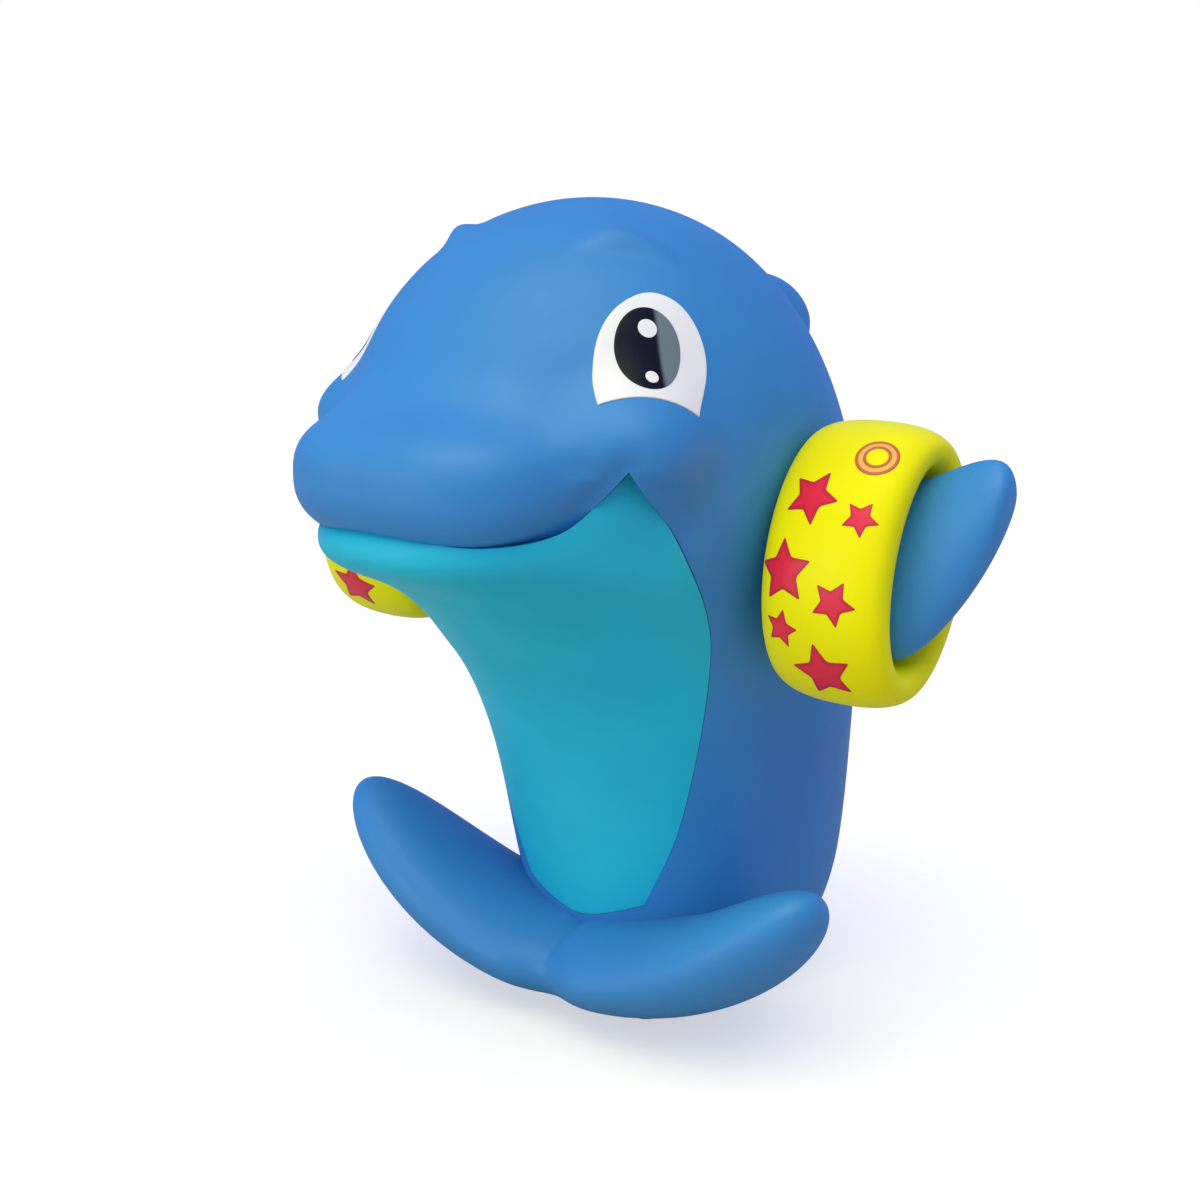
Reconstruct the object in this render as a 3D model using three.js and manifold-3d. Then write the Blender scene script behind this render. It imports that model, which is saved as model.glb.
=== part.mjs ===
// Dolphin bath toy: a hollow soft-vinyl dolphin that sits on its curled tail, with swivelling flippers.
// Millimetres, +Z up. The dolphin faces -Y and its left side is +X. The origin is on the resting face.
import * as THREE from 'three';
import { mergeVertices } from 'three/addons/utils/BufferGeometryUtils.js';
import Module from 'manifold-3d';

// Rounded masses of the body: centre on the middle plane (x is given for a mirrored pair), half sizes
// and bluntness, which is 2 for an oval and more for a fuller form. The flat base cuts the foot off the hip.
const HIP_HALF_HEIGHT = 36.5;
const BASE_CUT = 8;
const HIP_Z = HIP_HALF_HEIGHT - BASE_CUT;
const HEAD = { x: 0, y: -25, z: 95.6, halfWidth: 34, halfLength: 39.6, halfHeight: 35, bluntness: 2 };
const CHEST = { x: 0, y: -6, z: 68.5, halfWidth: 30.5, halfLength: 33.5, halfHeight: 34, bluntness: 2 };
const HIP = {
  x: 0, y: -1, z: HIP_Z, halfWidth: 27.5, halfLength: 29, halfHeight: HIP_HALF_HEIGHT, bluntness: 2,
};
const BEAK = { x: 0, y: -52, z: 93.4, halfWidth: 23.2, halfLength: 24.8, halfHeight: 10.2, bluntness: 2.6 };
const JAW = { x: 0, y: -50, z: 83.8, halfWidth: 20.5, halfLength: 25.4, halfHeight: 6.6, bluntness: 2.3 };
const CHEEK = { x: 27, y: -47.5, z: 97.2, halfWidth: 6.4, halfLength: 7.4, halfHeight: 6, bluntness: 2 };

// Brow ridges: each is a long blob, sunk into the head so that only a low swelling shows
const BROW_X = 15;
const BROW_Y = -37.5;
const BROW_HALF_SIZE = [7.5, 2.8, 2.2];
const BROW_SINK = 1.3;
const BROW_YAW = THREE.MathUtils.degToRad(50);
const BROW_ROLL = THREE.MathUtils.degToRad(3);

// How softly the masses run into each other
const TORSO_BLEND = 22;
const BEAK_BLEND = 7;
const JAW_BLEND = 12;
const CHEEK_BLEND = 7;

// Line under the throat that the skin bends round, from the chest's and the beak's middles
const BEND_BELOW_CHEST = 4.5;
const BEND_AHEAD_OF_BEAK = 6;

// Dorsal fin: (y, z) points that draw its leading and trailing edges from inside the back to the tip
const FIN_TIP = [35.7, 108.5];
const FIN_LEADING = [[0, 114], [14, 121], [30, 120.5]];
const FIN_TRAILING = [[20, 78], [27, 90], [31, 97]];
const FIN_ROOT_THICKNESS = 12;
const FIN_TIP_THICKNESS = 5;

// Shell wall, floor and the gap kept between pieces that meet
const WALL = 2.4;
const FLOOR = 3.6;
const FIT = 0.3;

// Belly panel: its edge is an angle round an upright line inside the chest, at each height
const PANEL_AXIS_Y = 5;
const PANEL_SIDE = [
  [4.5, 17.2], [20.5, 20.4], [29.3, 32.6], [34.6, 47.8], [36.8, 62], [36, 71.5], [31.8, 83], [26.2, 95.2],
];
const PANEL_MOUTH = [[26.2, 95.2], [22.6, 90.9], [18.2, 87], [12, 85.4], [3.4, 87.6]];
const PANEL_INSET = 6;

// Eyes: direction from the middle of the head, then outlines in the plane that touches the head there
const EYE_AZIMUTH = THREE.MathUtils.degToRad(52.1);
const EYE_ELEVATION = THREE.MathUtils.degToRad(23.6);
const EYE_ARCH = [
  [-9.1, -8.1], [-8.5, -2], [-6.6, 3.6], [-3, 7.7], [2, 9.7], [6.2, 8], [8.5, 3.4], [8.6, -2.5], [5.6, -9.2],
];
const EYE_LOWER_LID = [-1.8, -6.6];
const EYE_PROUD = 0.3;
const EYE_THICKNESS = 1.2;
const PUPIL_CENTRE = [-0.2, 0.3];
const PUPIL_HALF_WIDTH = 5.1;
const PUPIL_HALF_HEIGHT = 6.8;
const PUPIL_LEAN = THREE.MathUtils.degToRad(-13);
const PUPIL_PROUD = 0.45;
const PUPIL_THICKNESS = 0.55;

// Tail flukes: one curled blade from tip to tip, notched in the middle, that rests on a heel behind its edge
const FLUKE_HALF_SPAN = 45.6;
const FLUKE_RISE = 21.8;
const FLUKE_ROOT_Y = -25;
const FLUKE_ROOT_Z = 9.2;
const FLUKE_SWEEP = 6;
const FLUKE_ROOT_HALF_CHORD = 15.5;
const FLUKE_TIP_HALF_CHORD = 13;
const FLUKE_ROOT_HALF_THICKNESS = 7.2;
const FLUKE_TIP_HALF_THICKNESS = 8;
const FLUKE_NOTCH_DEPTH = 1.2;
const FLUKE_NOTCH_WIDTH = 5;
const FLUKE_TWIST = THREE.MathUtils.degToRad(-12);
const FLUKE_CURL = 2.3;
const FLUKE_BLUNTNESS = 4.5;
const FLUKE_CHORD_EASE = 1.6;
const FLUKE_SWEEP_EASE = 1.5;
const FLUKE_HEEL_DEPTH = 3;
const FLUKE_HEEL_WIDTH = 15;
const FLUKE_HEEL_EASE = 5;
const FLUKE_PEG_RADIUS = 3;
const FLUKE_PEG_SPACING = 16;
const FLUKE_PEG_REACH = 3;

// Shoulder: the flipper's peg turns in a boss inside the flank and a push-on washer holds it.
// Armband and flipper lean back a little at rest.
const SHOULDER_Y = -18;
const SHOULDER_Z = 79;
const PEG_RADIUS = 4.6;
const PEG_HEAD_RADIUS = 5.6;
const PEG_HEAD_LENGTH = 1.4;
const BOSS_RADIUS = 8;
const BOSS_DEPTH = 5.6;
const RETAINER_RADIUS = 7.2;
const RETAINER_THICKNESS = 2;
const SWING_CLEARANCE = 0.5;
const REST_LEAN = THREE.MathUtils.degToRad(-16);

// Armband: a puffed oval ring round the flipper
const ARMBAND_WIDTH = 19.8;
const ARMBAND_HALF_DEPTH = 15.2;
const ARMBAND_HALF_HEIGHT = 20.8;
const ARMBAND_BORE_HALF_DEPTH = 5.6;
const ARMBAND_BORE_HALF_HEIGHT = 13.5;
const ARMBAND_PUFF = 0.82;

// Flipper blade beyond the armband: heights are from the swivel line
const FLIPPER_REACH = 11;
const FLIPPER_FLARE = 3;
const FLIPPER_TIP_HEIGHT = 11.8;
const FLIPPER_CREST = 10.5;
const FLIPPER_BELLY = 10.6;
const FLIPPER_TIP_THICKNESS = 6;
const FLIPPER_CREST_START = 0.25;
const FLIPPER_BELLY_START = 0.33;
const BLADE_BLUNTNESS = 6;

// Ballast ring and the plug that closes the moulding hole in the floor
const PLUG_FLANGE_RADIUS = 5;
const PLUG_FLANGE_THICKNESS = 1.4;
const PLUG_STEM_RADIUS = 2.6;
const PLUG_HEAD_RADIUS = 3.4;
const PLUG_HEAD_LENGTH = 2.4;
const PLUG_BORE_RADIUS = 1.1;
const BALLAST_RADIUS = 7.2;
const BALLAST_HEIGHT = 9;
const BALLAST_GAP = 0.8;

// Facets
const SKIN = { segments: 32, torsoRings: 9, bendRings: 15, snoutRings: 7 };
const LINING = { segments: 20, torsoRings: 6, bendRings: 9, snoutRings: 3 };
const ROUND_SEGMENTS = 20;
const BLADE_RINGS = 12;
const CAST_STEP = 2;
const CAST_HALVINGS = 22;
const CAST_REACH = HEAD.z + HEAD.halfHeight;

const wasm = await Module();
wasm.setup();

// Solids from meshes and back
function toSolid(geometry) {
  const bare = geometry.clone();
  bare.deleteAttribute('normal');
  bare.deleteAttribute('uv');
  const merged = mergeVertices(bare);
  const vertProperties = Float32Array.from(merged.attributes.position.array);
  const triVerts = Uint32Array.from(merged.index.array);
  return new wasm.Manifold(new wasm.Mesh({ numProp: 3, vertProperties, triVerts }));
}

function toGeometry(solid) {
  const mesh = solid.getMesh();
  const geometry = new THREE.BufferGeometry();
  geometry.setAttribute('position', new THREE.BufferAttribute(mesh.vertProperties, 3));
  geometry.setIndex(new THREE.BufferAttribute(mesh.triVerts, 1));
  geometry.computeVertexNormals();
  return geometry;
}

// A closed mesh from points and triangles, turned so that its faces point out
function closedGeometry(points, triangles) {
  let volume = 0;
  for (const [a, b, c] of triangles) {
    volume += points[a].dot(points[b].clone().cross(points[c]));
  }
  const outward = volume < 0 ? triangles.map(([a, b, c]) => [a, c, b]) : triangles;
  const geometry = new THREE.BufferGeometry().setFromPoints(points);
  geometry.setIndex(outward.flat());
  return geometry;
}

// Skin stretched over a row of rings with a point closing each end, or round a loop of rings
function loft(rings, ends) {
  const size = rings[0].length;
  const points = rings.flat();
  const triangles = [];
  const last = ends ? rings.length - 1 : rings.length;
  for (let i = 0; i < last; i += 1) {
    const here = i * size;
    const there = ((i + 1) % rings.length) * size;
    for (let j = 0; j < size; j += 1) {
      const k = (j + 1) % size;
      triangles.push([here + j, here + k, there + k], [here + j, there + k, there + j]);
    }
  }
  if (ends) {
    const first = points.push(ends[0]) - 1;
    const final = points.push(ends[1]) - 1;
    const top = (rings.length - 1) * size;
    for (let j = 0; j < size; j += 1) {
      const k = (j + 1) % size;
      triangles.push([first, k, j], [final, top + j, top + k]);
    }
  }
  return closedGeometry(points, triangles);
}

function mirrored(geometry) {
  const source = geometry.index ? geometry : mergeVertices(geometry);
  const position = source.attributes.position;
  const points = [];
  for (let i = 0; i < position.count; i += 1) {
    points.push(new THREE.Vector3(-position.getX(i), position.getY(i), position.getZ(i)));
  }
  const index = Array.from(source.index.array);
  const triangles = [];
  for (let i = 0; i < index.length; i += 3) {
    triangles.push(index.slice(i, i + 3));
  }
  return closedGeometry(points, triangles);
}

// Round bar from one end to the other
function bar(radius, from, to, segments = ROUND_SEGMENTS) {
  const length = from.distanceTo(to);
  const geometry = new THREE.CylinderGeometry(radius, radius, length, segments);
  const turn = new THREE.Quaternion();
  turn.setFromUnitVectors(new THREE.Vector3(0, 1, 0), to.clone().sub(from).normalize());
  geometry.applyQuaternion(turn);
  const middle = from.clone().add(to).multiplyScalar(0.5);
  return geometry.translate(middle.x, middle.y, middle.z);
}

// Round shape turned about an upright line, from its (radius, z) profile
function turned(profile, x, y) {
  const points = profile.map(([radius, z]) => new THREE.Vector2(radius, z));
  const geometry = new THREE.LatheGeometry(points, ROUND_SEGMENTS);
  return geometry.rotateX(Math.PI / 2).translate(x, y, 0);
}

// A flat blade between two edges that meet at its tip, in oval sections that thin outwards
function bladeSection(top, bottom, halfThickness, toSpace) {
  const middle = top.clone().add(bottom).multiplyScalar(0.5);
  const half = top.clone().sub(bottom).multiplyScalar(0.5);
  return Array.from({ length: ROUND_SEGMENTS }, (_, j) => {
    const angle = j / ROUND_SEGMENTS * 2 * Math.PI;
    const inPlane = middle.clone().addScaledVector(half, Math.sin(angle));
    return toSpace(inPlane, halfThickness * Math.cos(angle));
  });
}

function bladeRings(upper, lower, rootThickness, tipThickness, toSpace) {
  return Array.from({ length: BLADE_RINGS }, (_, i) => {
    const part = Math.sin(i / BLADE_RINGS * Math.PI / 2);
    const taper = Math.sqrt(1 - part ** BLADE_BLUNTNESS);
    const halfThickness = THREE.MathUtils.lerp(rootThickness, tipThickness, part) / 2 * taper;
    return bladeSection(upper.getPoint(part), lower.getPoint(part), halfThickness, toSpace);
  });
}

// Distance of a point to a rounded mass, negative inside it
function depth(p, form) {
  const x = Math.abs((form.x > 0 ? Math.abs(p.x) : p.x) - form.x) / form.halfWidth;
  const y = Math.abs(p.y - form.y) / form.halfLength;
  const z = Math.abs(p.z - form.z) / form.halfHeight;
  const power = form.bluntness;
  const near = (x ** power + y ** power + z ** power) ** (1 / power);
  const steep = Math.hypot(
    x ** (power - 1) / form.halfWidth,
    y ** (power - 1) / form.halfLength,
    z ** (power - 1) / form.halfHeight,
  );
  return near ** (power - 1) * (near - 1) / Math.max(steep, 1e-9);
}

function blend(a, b, width) {
  const overlap = Math.max(width - Math.abs(a - b), 0) / width;
  return Math.min(a, b) - overlap * overlap * width / 4;
}

function torsoDepth(p) {
  const upper = blend(depth(p, HEAD), depth(p, CHEST), TORSO_BLEND);
  return blend(upper, depth(p, HIP), TORSO_BLEND);
}

function backDepth(p) {
  const snout = blend(torsoDepth(p), depth(p, BEAK), BEAK_BLEND);
  return blend(snout, depth(p, CHEEK), CHEEK_BLEND);
}

function bellyDepth(p) {
  return blend(torsoDepth(p), depth(p, JAW), JAW_BLEND);
}

// Outermost point of a skin along a ray, with the skin swollen or shrunk by an offset
function skinPoint(skin, origin, direction, offset = 0) {
  const at = (t) => origin.clone().addScaledVector(direction, t);
  let inside = CAST_REACH;
  while (inside > 0 && skin(at(inside)) > offset) {
    inside -= CAST_STEP;
  }
  let outside = inside + CAST_STEP;
  for (let i = 0; i < CAST_HALVINGS; i += 1) {
    const middle = (inside + outside) / 2;
    if (skin(at(middle)) > offset) {
      outside = middle;
    } else {
      inside = middle;
    }
  }
  return at(inside);
}

function skinNormal(skin, p) {
  const step = 0.05;
  const slope = ['x', 'y', 'z'].map((axis) => {
    const ahead = p.clone();
    const behind = p.clone();
    ahead[axis] += step;
    behind[axis] -= step;
    return skin(ahead) - skin(behind);
  });
  return new THREE.Vector3(...slope).normalize();
}

// The skin is cut by level planes up the torso, then by planes that fan out from a line
// under the throat, then by upright planes along the snout
const FORWARD = new THREE.Vector3(0, -1, 0);
const BEND_Z = CHEST.z - BEND_BELOW_CHEST;
const BEND_Y = BEAK.y - BEND_AHEAD_OF_BEAK;

function castBody(skin, snout, offset, base, facets, skirt = 0) {
  const stations = [];
  for (let i = 0; i < facets.torsoRings; i += 1) {
    const z = THREE.MathUtils.lerp(base, BEND_Z, i / facets.torsoRings);
    const y = THREE.MathUtils.lerp(HIP.y, CHEST.y, z / BEND_Z);
    stations.push({ origin: new THREE.Vector3(0, y, z), across: new THREE.Vector3(0, 1, 0) });
  }
  for (let i = 0; i < facets.bendRings; i += 1) {
    const part = i / facets.bendRings;
    const reach = THREE.MathUtils.lerp(CHEST.y - BEND_Y, snout.z - BEND_Z, part);
    const angle = part * Math.PI / 2;
    const across = new THREE.Vector3(0, Math.cos(angle), Math.sin(angle));
    const origin = new THREE.Vector3(0, BEND_Y, BEND_Z).addScaledVector(across, reach);
    stations.push({ origin, across });
  }
  const root = new THREE.Vector3(0, BEND_Y, snout.z);
  const tip = skinPoint(skin, root, FORWARD, offset);
  for (let i = 0; i < facets.snoutRings; i += 1) {
    const part = Math.sin(i / facets.snoutRings * Math.PI / 2);
    stations.push({ origin: root.clone().lerp(tip, part), across: new THREE.Vector3(0, 0, 1) });
  }
  const rings = stations.map(({ origin, across }) => {
    const ring = [];
    for (let j = 0; j < facets.segments; j += 1) {
      const angle = j / facets.segments * 2 * Math.PI;
      const direction = across.clone().multiplyScalar(Math.sin(angle));
      direction.x = Math.cos(angle);
      ring.push(skinPoint(skin, origin, direction, offset));
    }
    return ring;
  });
  const foot = stations[0].origin;
  if (skirt > 0) {
    rings.unshift(rings[0].map((p) => p.clone().setZ(p.z - skirt)));
    foot.z -= skirt;
  }
  return toSolid(loft(rings, [foot, tip]));
}

// Raised forms on the head and back
function brow() {
  const geometry = new THREE.SphereGeometry(1, ROUND_SEGMENTS, ROUND_SEGMENTS / 2);
  const turn = new THREE.Euler(0, BROW_ROLL, BROW_YAW, 'ZYX');
  const up = new THREE.Vector3(0, 0, 1);
  const top = skinPoint(backDepth, new THREE.Vector3(BROW_X, BROW_Y, HEAD.z), up);
  geometry.scale(...BROW_HALF_SIZE);
  geometry.applyMatrix4(new THREE.Matrix4().makeRotationFromEuler(turn));
  return geometry.translate(top.x, top.y, top.z - BROW_SINK);
}

function dorsalFin() {
  const tip = new THREE.Vector2(...FIN_TIP);
  const edge = (points) => new THREE.CubicBezierCurve(...points.map((p) => new THREE.Vector2(...p)), tip);
  const leading = edge(FIN_LEADING);
  const trailing = edge(FIN_TRAILING);
  const toSpace = (p, across) => new THREE.Vector3(across, p.x, p.y);
  const rings = bladeRings(leading, trailing, FIN_ROOT_THICKNESS, FIN_TIP_THICKNESS, toSpace);
  const root = leading.getPoint(0).add(trailing.getPoint(0)).multiplyScalar(0.5);
  return loft(rings, [toSpace(root, 0), toSpace(tip, 0)]);
}

// Belly panel outline, unrolled: arc length at the chest across, height up
const PANEL_RADIUS = CHEST.halfLength;

function panelOutline(grow) {
  const unroll = ([degrees, z]) => new THREE.Vector2(THREE.MathUtils.degToRad(degrees) * PANEL_RADIUS, z);
  const lower = PANEL_SIDE.slice(0, 2).map(unroll);
  const side = new THREE.SplineCurve(PANEL_SIDE.slice(1).map(unroll)).getPoints(13);
  const mouth = new THREE.SplineCurve(PANEL_MOUTH.map(unroll)).getPoints(8);
  const half = [lower[0], ...side, ...mouth.slice(1)];
  const other = half.map((p) => new THREE.Vector2(-p.x, p.y)).reverse();
  return growOutline([...half, ...other], grow);
}

function growOutline(points, grow) {
  const count = points.length;
  return points.map((p, i) => {
    const before = p.clone().sub(points[(i + count - 1) % count]).normalize();
    const after = points[(i + 1) % count].clone().sub(p).normalize();
    const out = new THREE.Vector2(before.y + after.y, -before.x - after.x).normalize();
    const spread = Math.max(out.x * before.y - out.y * before.x, 0.5);
    return p.clone().addScaledVector(out, grow / spread);
  });
}

// Wedge that cuts the panel out of the skin, square to the skin all round
function panelWedge(grow) {
  const shape = new THREE.Shape(panelOutline(grow));
  const reach = 2 * CAST_REACH;
  const geometry = new THREE.ExtrudeGeometry(shape, { depth: reach, bevelEnabled: false, steps: 1 });
  const position = geometry.attributes.position;
  for (let i = 0; i < position.count; i += 1) {
    const angle = position.getX(i) / PANEL_RADIUS;
    const radius = PANEL_INSET + position.getZ(i);
    const height = position.getY(i);
    position.setXYZ(i, radius * Math.sin(angle), PANEL_AXIS_Y - radius * Math.cos(angle), height);
  }
  return toSolid(geometry);
}

// Eye plates lie in shallow pockets and follow the curve of the head
const eye = (() => {
  const level = Math.cos(EYE_ELEVATION);
  const x = Math.sin(EYE_AZIMUTH) * level;
  const y = -Math.cos(EYE_AZIMUTH) * level;
  const direction = new THREE.Vector3(x, y, Math.sin(EYE_ELEVATION));
  const centre = skinPoint(backDepth, new THREE.Vector3(0, HEAD.y, HEAD.z), direction);
  const normal = skinNormal(backDepth, centre);
  const across = new THREE.Vector3(0, 0, 1).cross(normal).normalize();
  const up = normal.clone().cross(across);
  return { centre, normal, across, up };
})();

function eyeOutline() {
  const arch = new THREE.SplineCurve(EYE_ARCH.map(([a, b]) => new THREE.Vector2(a, b)));
  const ends = [arch.getPoint(1), arch.getPoint(0)];
  const lid = new THREE.QuadraticBezierCurve(ends[0], new THREE.Vector2(...EYE_LOWER_LID), ends[1]);
  return [...arch.getSpacedPoints(18), ...lid.getPoints(5).slice(1, -1)].reverse();
}

function pupilOutline() {
  const outline = new THREE.EllipseCurve(
    ...PUPIL_CENTRE, PUPIL_HALF_WIDTH, PUPIL_HALF_HEIGHT, 0, 2 * Math.PI, false, PUPIL_LEAN,
  );
  return outline.getPoints(18).slice(0, -1);
}

// A plate over an outline, between two heights measured out from the skin
function skinPlate(outline, top, bottom) {
  const onSkin = (point, part, offset) => {
    const start = eye.centre.clone().addScaledVector(eye.normal, -HEAD.halfWidth / 2);
    start.addScaledVector(eye.across, point.x * part).addScaledVector(eye.up, point.y * part);
    return skinPoint(backDepth, start, eye.normal, offset);
  };
  const ring = (part, offset) => outline.map((point) => onSkin(point, part, offset));
  const parts = [0.5, 1];
  const rings = parts.map((part) => ring(part, top));
  rings.push(...[...parts].reverse().map((part) => ring(part, bottom)));
  const middle = outline[0];
  return loft(rings, [onSkin(middle, 0, top), onSkin(middle, 0, bottom)]);
}

// Tail flukes
function flukeRing(part) {
  const far = Math.abs(part);
  const x = FLUKE_HALF_SPAN * part;
  const notch = FLUKE_NOTCH_DEPTH * Math.exp(-((x / FLUKE_NOTCH_WIDTH) ** 2));
  const taper = Math.sqrt(Math.max(1 - far ** FLUKE_BLUNTNESS, 0));
  const ease = far ** FLUKE_CHORD_EASE;
  const fullChord = THREE.MathUtils.lerp(FLUKE_ROOT_HALF_CHORD, FLUKE_TIP_HALF_CHORD, ease);
  const chord = fullChord * taper - notch;
  const thickness = THREE.MathUtils.lerp(FLUKE_ROOT_HALF_THICKNESS, FLUKE_TIP_HALF_THICKNESS, far) * taper;
  const slope = FLUKE_CURL * FLUKE_RISE * far ** (FLUKE_CURL - 1) / FLUKE_HALF_SPAN * Math.sign(part);
  const normal = new THREE.Vector3(-slope, 0, 1).normalize();
  const twist = FLUKE_TWIST * far;
  const back = new THREE.Vector3(0, 1, 0);
  const along = back.clone().multiplyScalar(Math.cos(twist)).addScaledVector(normal, Math.sin(twist));
  const across = normal.clone().multiplyScalar(Math.cos(twist)).addScaledVector(back, -Math.sin(twist));
  const y = FLUKE_ROOT_Y - FLUKE_SWEEP * far ** FLUKE_SWEEP_EASE + notch;
  const centre = new THREE.Vector3(x, y, FLUKE_ROOT_Z + FLUKE_RISE * far ** FLUKE_CURL);
  const heel = FLUKE_HEEL_DEPTH * Math.exp(-((x / FLUKE_HEEL_WIDTH) ** 4));
  const ring = [];
  for (let j = 0; j < ROUND_SEGMENTS; j += 1) {
    const angle = j / ROUND_SEGMENTS * 2 * Math.PI;
    const point = centre.clone().addScaledVector(along, chord * Math.cos(angle));
    point.addScaledVector(across, thickness * Math.sin(angle));
    const behind = THREE.MathUtils.smoothstep(point.y, FLUKE_ROOT_Y - FLUKE_HEEL_EASE, FLUKE_ROOT_Y);
    point.z = Math.max(point.z - heel * behind * Math.max(-Math.sin(angle), 0), 0);
    ring.push(point);
  }
  return { ring, centre };
}

function flukeBlade() {
  const count = 22;
  const sections = [];
  for (let i = 1; i < count; i += 1) {
    sections.push(flukeRing(Math.sin((i / count - 0.5) * Math.PI)));
  }
  return loft(sections.map(({ ring }) => ring), [flukeRing(-1).centre, flukeRing(1).centre]);
}

function flukePeg(side, grow) {
  const x = side * FLUKE_PEG_SPACING / 2;
  const wall = skinPoint(torsoDepth, new THREE.Vector3(x, HIP.y, FLUKE_ROOT_Z), FORWARD);
  const front = new THREE.Vector3(x, FLUKE_ROOT_Y - FLUKE_ROOT_HALF_CHORD / 2, FLUKE_ROOT_Z);
  const inner = new THREE.Vector3(x, wall.y + WALL + FLUKE_PEG_REACH + grow, FLUKE_ROOT_Z);
  return toSolid(bar(FLUKE_PEG_RADIUS + grow, front, inner));
}

// Shoulder line: how far the flank reaches out where the armband turns past it
function flankReach(y, z) {
  return skinPoint(backDepth, new THREE.Vector3(0, y, z), new THREE.Vector3(1, 0, 0)).x;
}

const flankAtPeg = flankReach(SHOULDER_Y, SHOULDER_Z);
const sweepRadius = (ARMBAND_HALF_HEIGHT + ARMBAND_BORE_HALF_HEIGHT) / 2;
const sweepAngles = Array.from({ length: ROUND_SEGMENTS }, (_, i) => i / ROUND_SEGMENTS * 2 * Math.PI);
const flankUnderArmband = Math.max(flankAtPeg, ...sweepAngles.map((angle) => flankReach(
  SHOULDER_Y + sweepRadius * Math.cos(angle),
  SHOULDER_Z + sweepRadius * Math.sin(angle),
)));
const armInner = flankUnderArmband + SWING_CLEARANCE;
const armOuter = armInner + ARMBAND_WIDTH;
const bossFace = flankAtPeg - BOSS_DEPTH;
const retainerInner = bossFace - FIT - RETAINER_THICKNESS;
const onShoulder = (x) => new THREE.Vector3(x, SHOULDER_Y, SHOULDER_Z);

function leaned(geometry) {
  geometry.translate(0, -SHOULDER_Y, -SHOULDER_Z);
  geometry.rotateX(REST_LEAN);
  return geometry.translate(0, SHOULDER_Y, SHOULDER_Z);
}

// Armband ring: a puffed section carried round an oval
function armband() {
  const rings = [];
  const count = 28;
  const sides = 12;
  const puffed = (value) => Math.sign(value) * Math.abs(value) ** ARMBAND_PUFF;
  for (let i = 0; i < count; i += 1) {
    const angle = i / count * 2 * Math.PI;
    const ring = [];
    for (let j = 0; j < sides; j += 1) {
      const turn = j / sides * 2 * Math.PI;
      const out = (1 + puffed(Math.sin(turn))) / 2;
      const x = (armInner + armOuter) / 2 + ARMBAND_WIDTH / 2 * puffed(Math.cos(turn));
      const halfDepth = THREE.MathUtils.lerp(ARMBAND_BORE_HALF_DEPTH, ARMBAND_HALF_DEPTH, out);
      const halfHeight = THREE.MathUtils.lerp(ARMBAND_BORE_HALF_HEIGHT, ARMBAND_HALF_HEIGHT, out);
      const y = SHOULDER_Y + halfDepth * Math.cos(angle);
      const z = SHOULDER_Z + halfHeight * Math.sin(angle);
      ring.push(new THREE.Vector3(x, y, z));
    }
    rings.push(ring);
  }
  return leaned(loft(rings));
}

// Flipper: an oval arm through the armband that spreads into a blade, and the peg it turns on
function flipper() {
  const height = ARMBAND_BORE_HALF_HEIGHT - FIT;
  const halfDepth = ARMBAND_BORE_HALF_DEPTH - FIT;
  const root = armOuter - FLIPPER_FLARE;
  const length = FLIPPER_FLARE + FLIPPER_REACH;
  const tip = new THREE.Vector2(root + length, FLIPPER_TIP_HEIGHT);
  const upper = new THREE.CubicBezierCurve(
    new THREE.Vector2(root, height),
    new THREE.Vector2(root + length * FLIPPER_CREST_START, height),
    new THREE.Vector2(tip.x, tip.y + FLIPPER_CREST),
    tip,
  );
  const lower = new THREE.CubicBezierCurve(
    new THREE.Vector2(root, -height),
    new THREE.Vector2(root + length * FLIPPER_BELLY_START, -height),
    new THREE.Vector2(tip.x, tip.y - FLIPPER_BELLY),
    tip,
  );
  const toSpace = (p, across) => new THREE.Vector3(p.x, SHOULDER_Y + across, SHOULDER_Z + p.y);
  const armTop = new THREE.Vector2(armInner, height);
  const armBottom = new THREE.Vector2(armInner, -height);
  const arm = bladeSection(armTop, armBottom, halfDepth, toSpace);
  const rings = [arm, ...bladeRings(upper, lower, 2 * halfDepth, FLIPPER_TIP_THICKNESS, toSpace)];
  const blade = toSolid(loft(rings, [onShoulder(armInner), toSpace(tip, 0)]));
  const headInner = retainerInner - FIT - PEG_HEAD_LENGTH;
  const peg = toSolid(bar(PEG_RADIUS, onShoulder(headInner), onShoulder(armInner + PEG_RADIUS)));
  const head = toSolid(bar(PEG_HEAD_RADIUS, onShoulder(headInner), onShoulder(headInner + PEG_HEAD_LENGTH)));
  return leaned(toGeometry(blade.add(peg).add(head)));
}

function retainer() {
  const inner = onShoulder(retainerInner);
  const outer = onShoulder(retainerInner + RETAINER_THICKNESS);
  const beyond = new THREE.Vector3(RETAINER_THICKNESS, 0, 0);
  const disc = toSolid(bar(RETAINER_RADIUS, inner, outer));
  const hole = toSolid(bar(PEG_RADIUS + FIT, inner.clone().sub(beyond), outer.clone().add(beyond)));
  return toGeometry(disc.subtract(hole));
}

// Floor fittings
const ballastBase = FLOOR + FIT;
const ballastMiddle = new THREE.Vector3(0, HIP.y, ballastBase);
const rearWall = skinPoint(torsoDepth, ballastMiddle, new THREE.Vector3(0, 1, 0), -WALL);
const plugY = rearWall.y - BALLAST_GAP - BALLAST_RADIUS;
const plugHeadZ = ballastBase + BALLAST_HEIGHT + FIT;

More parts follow.
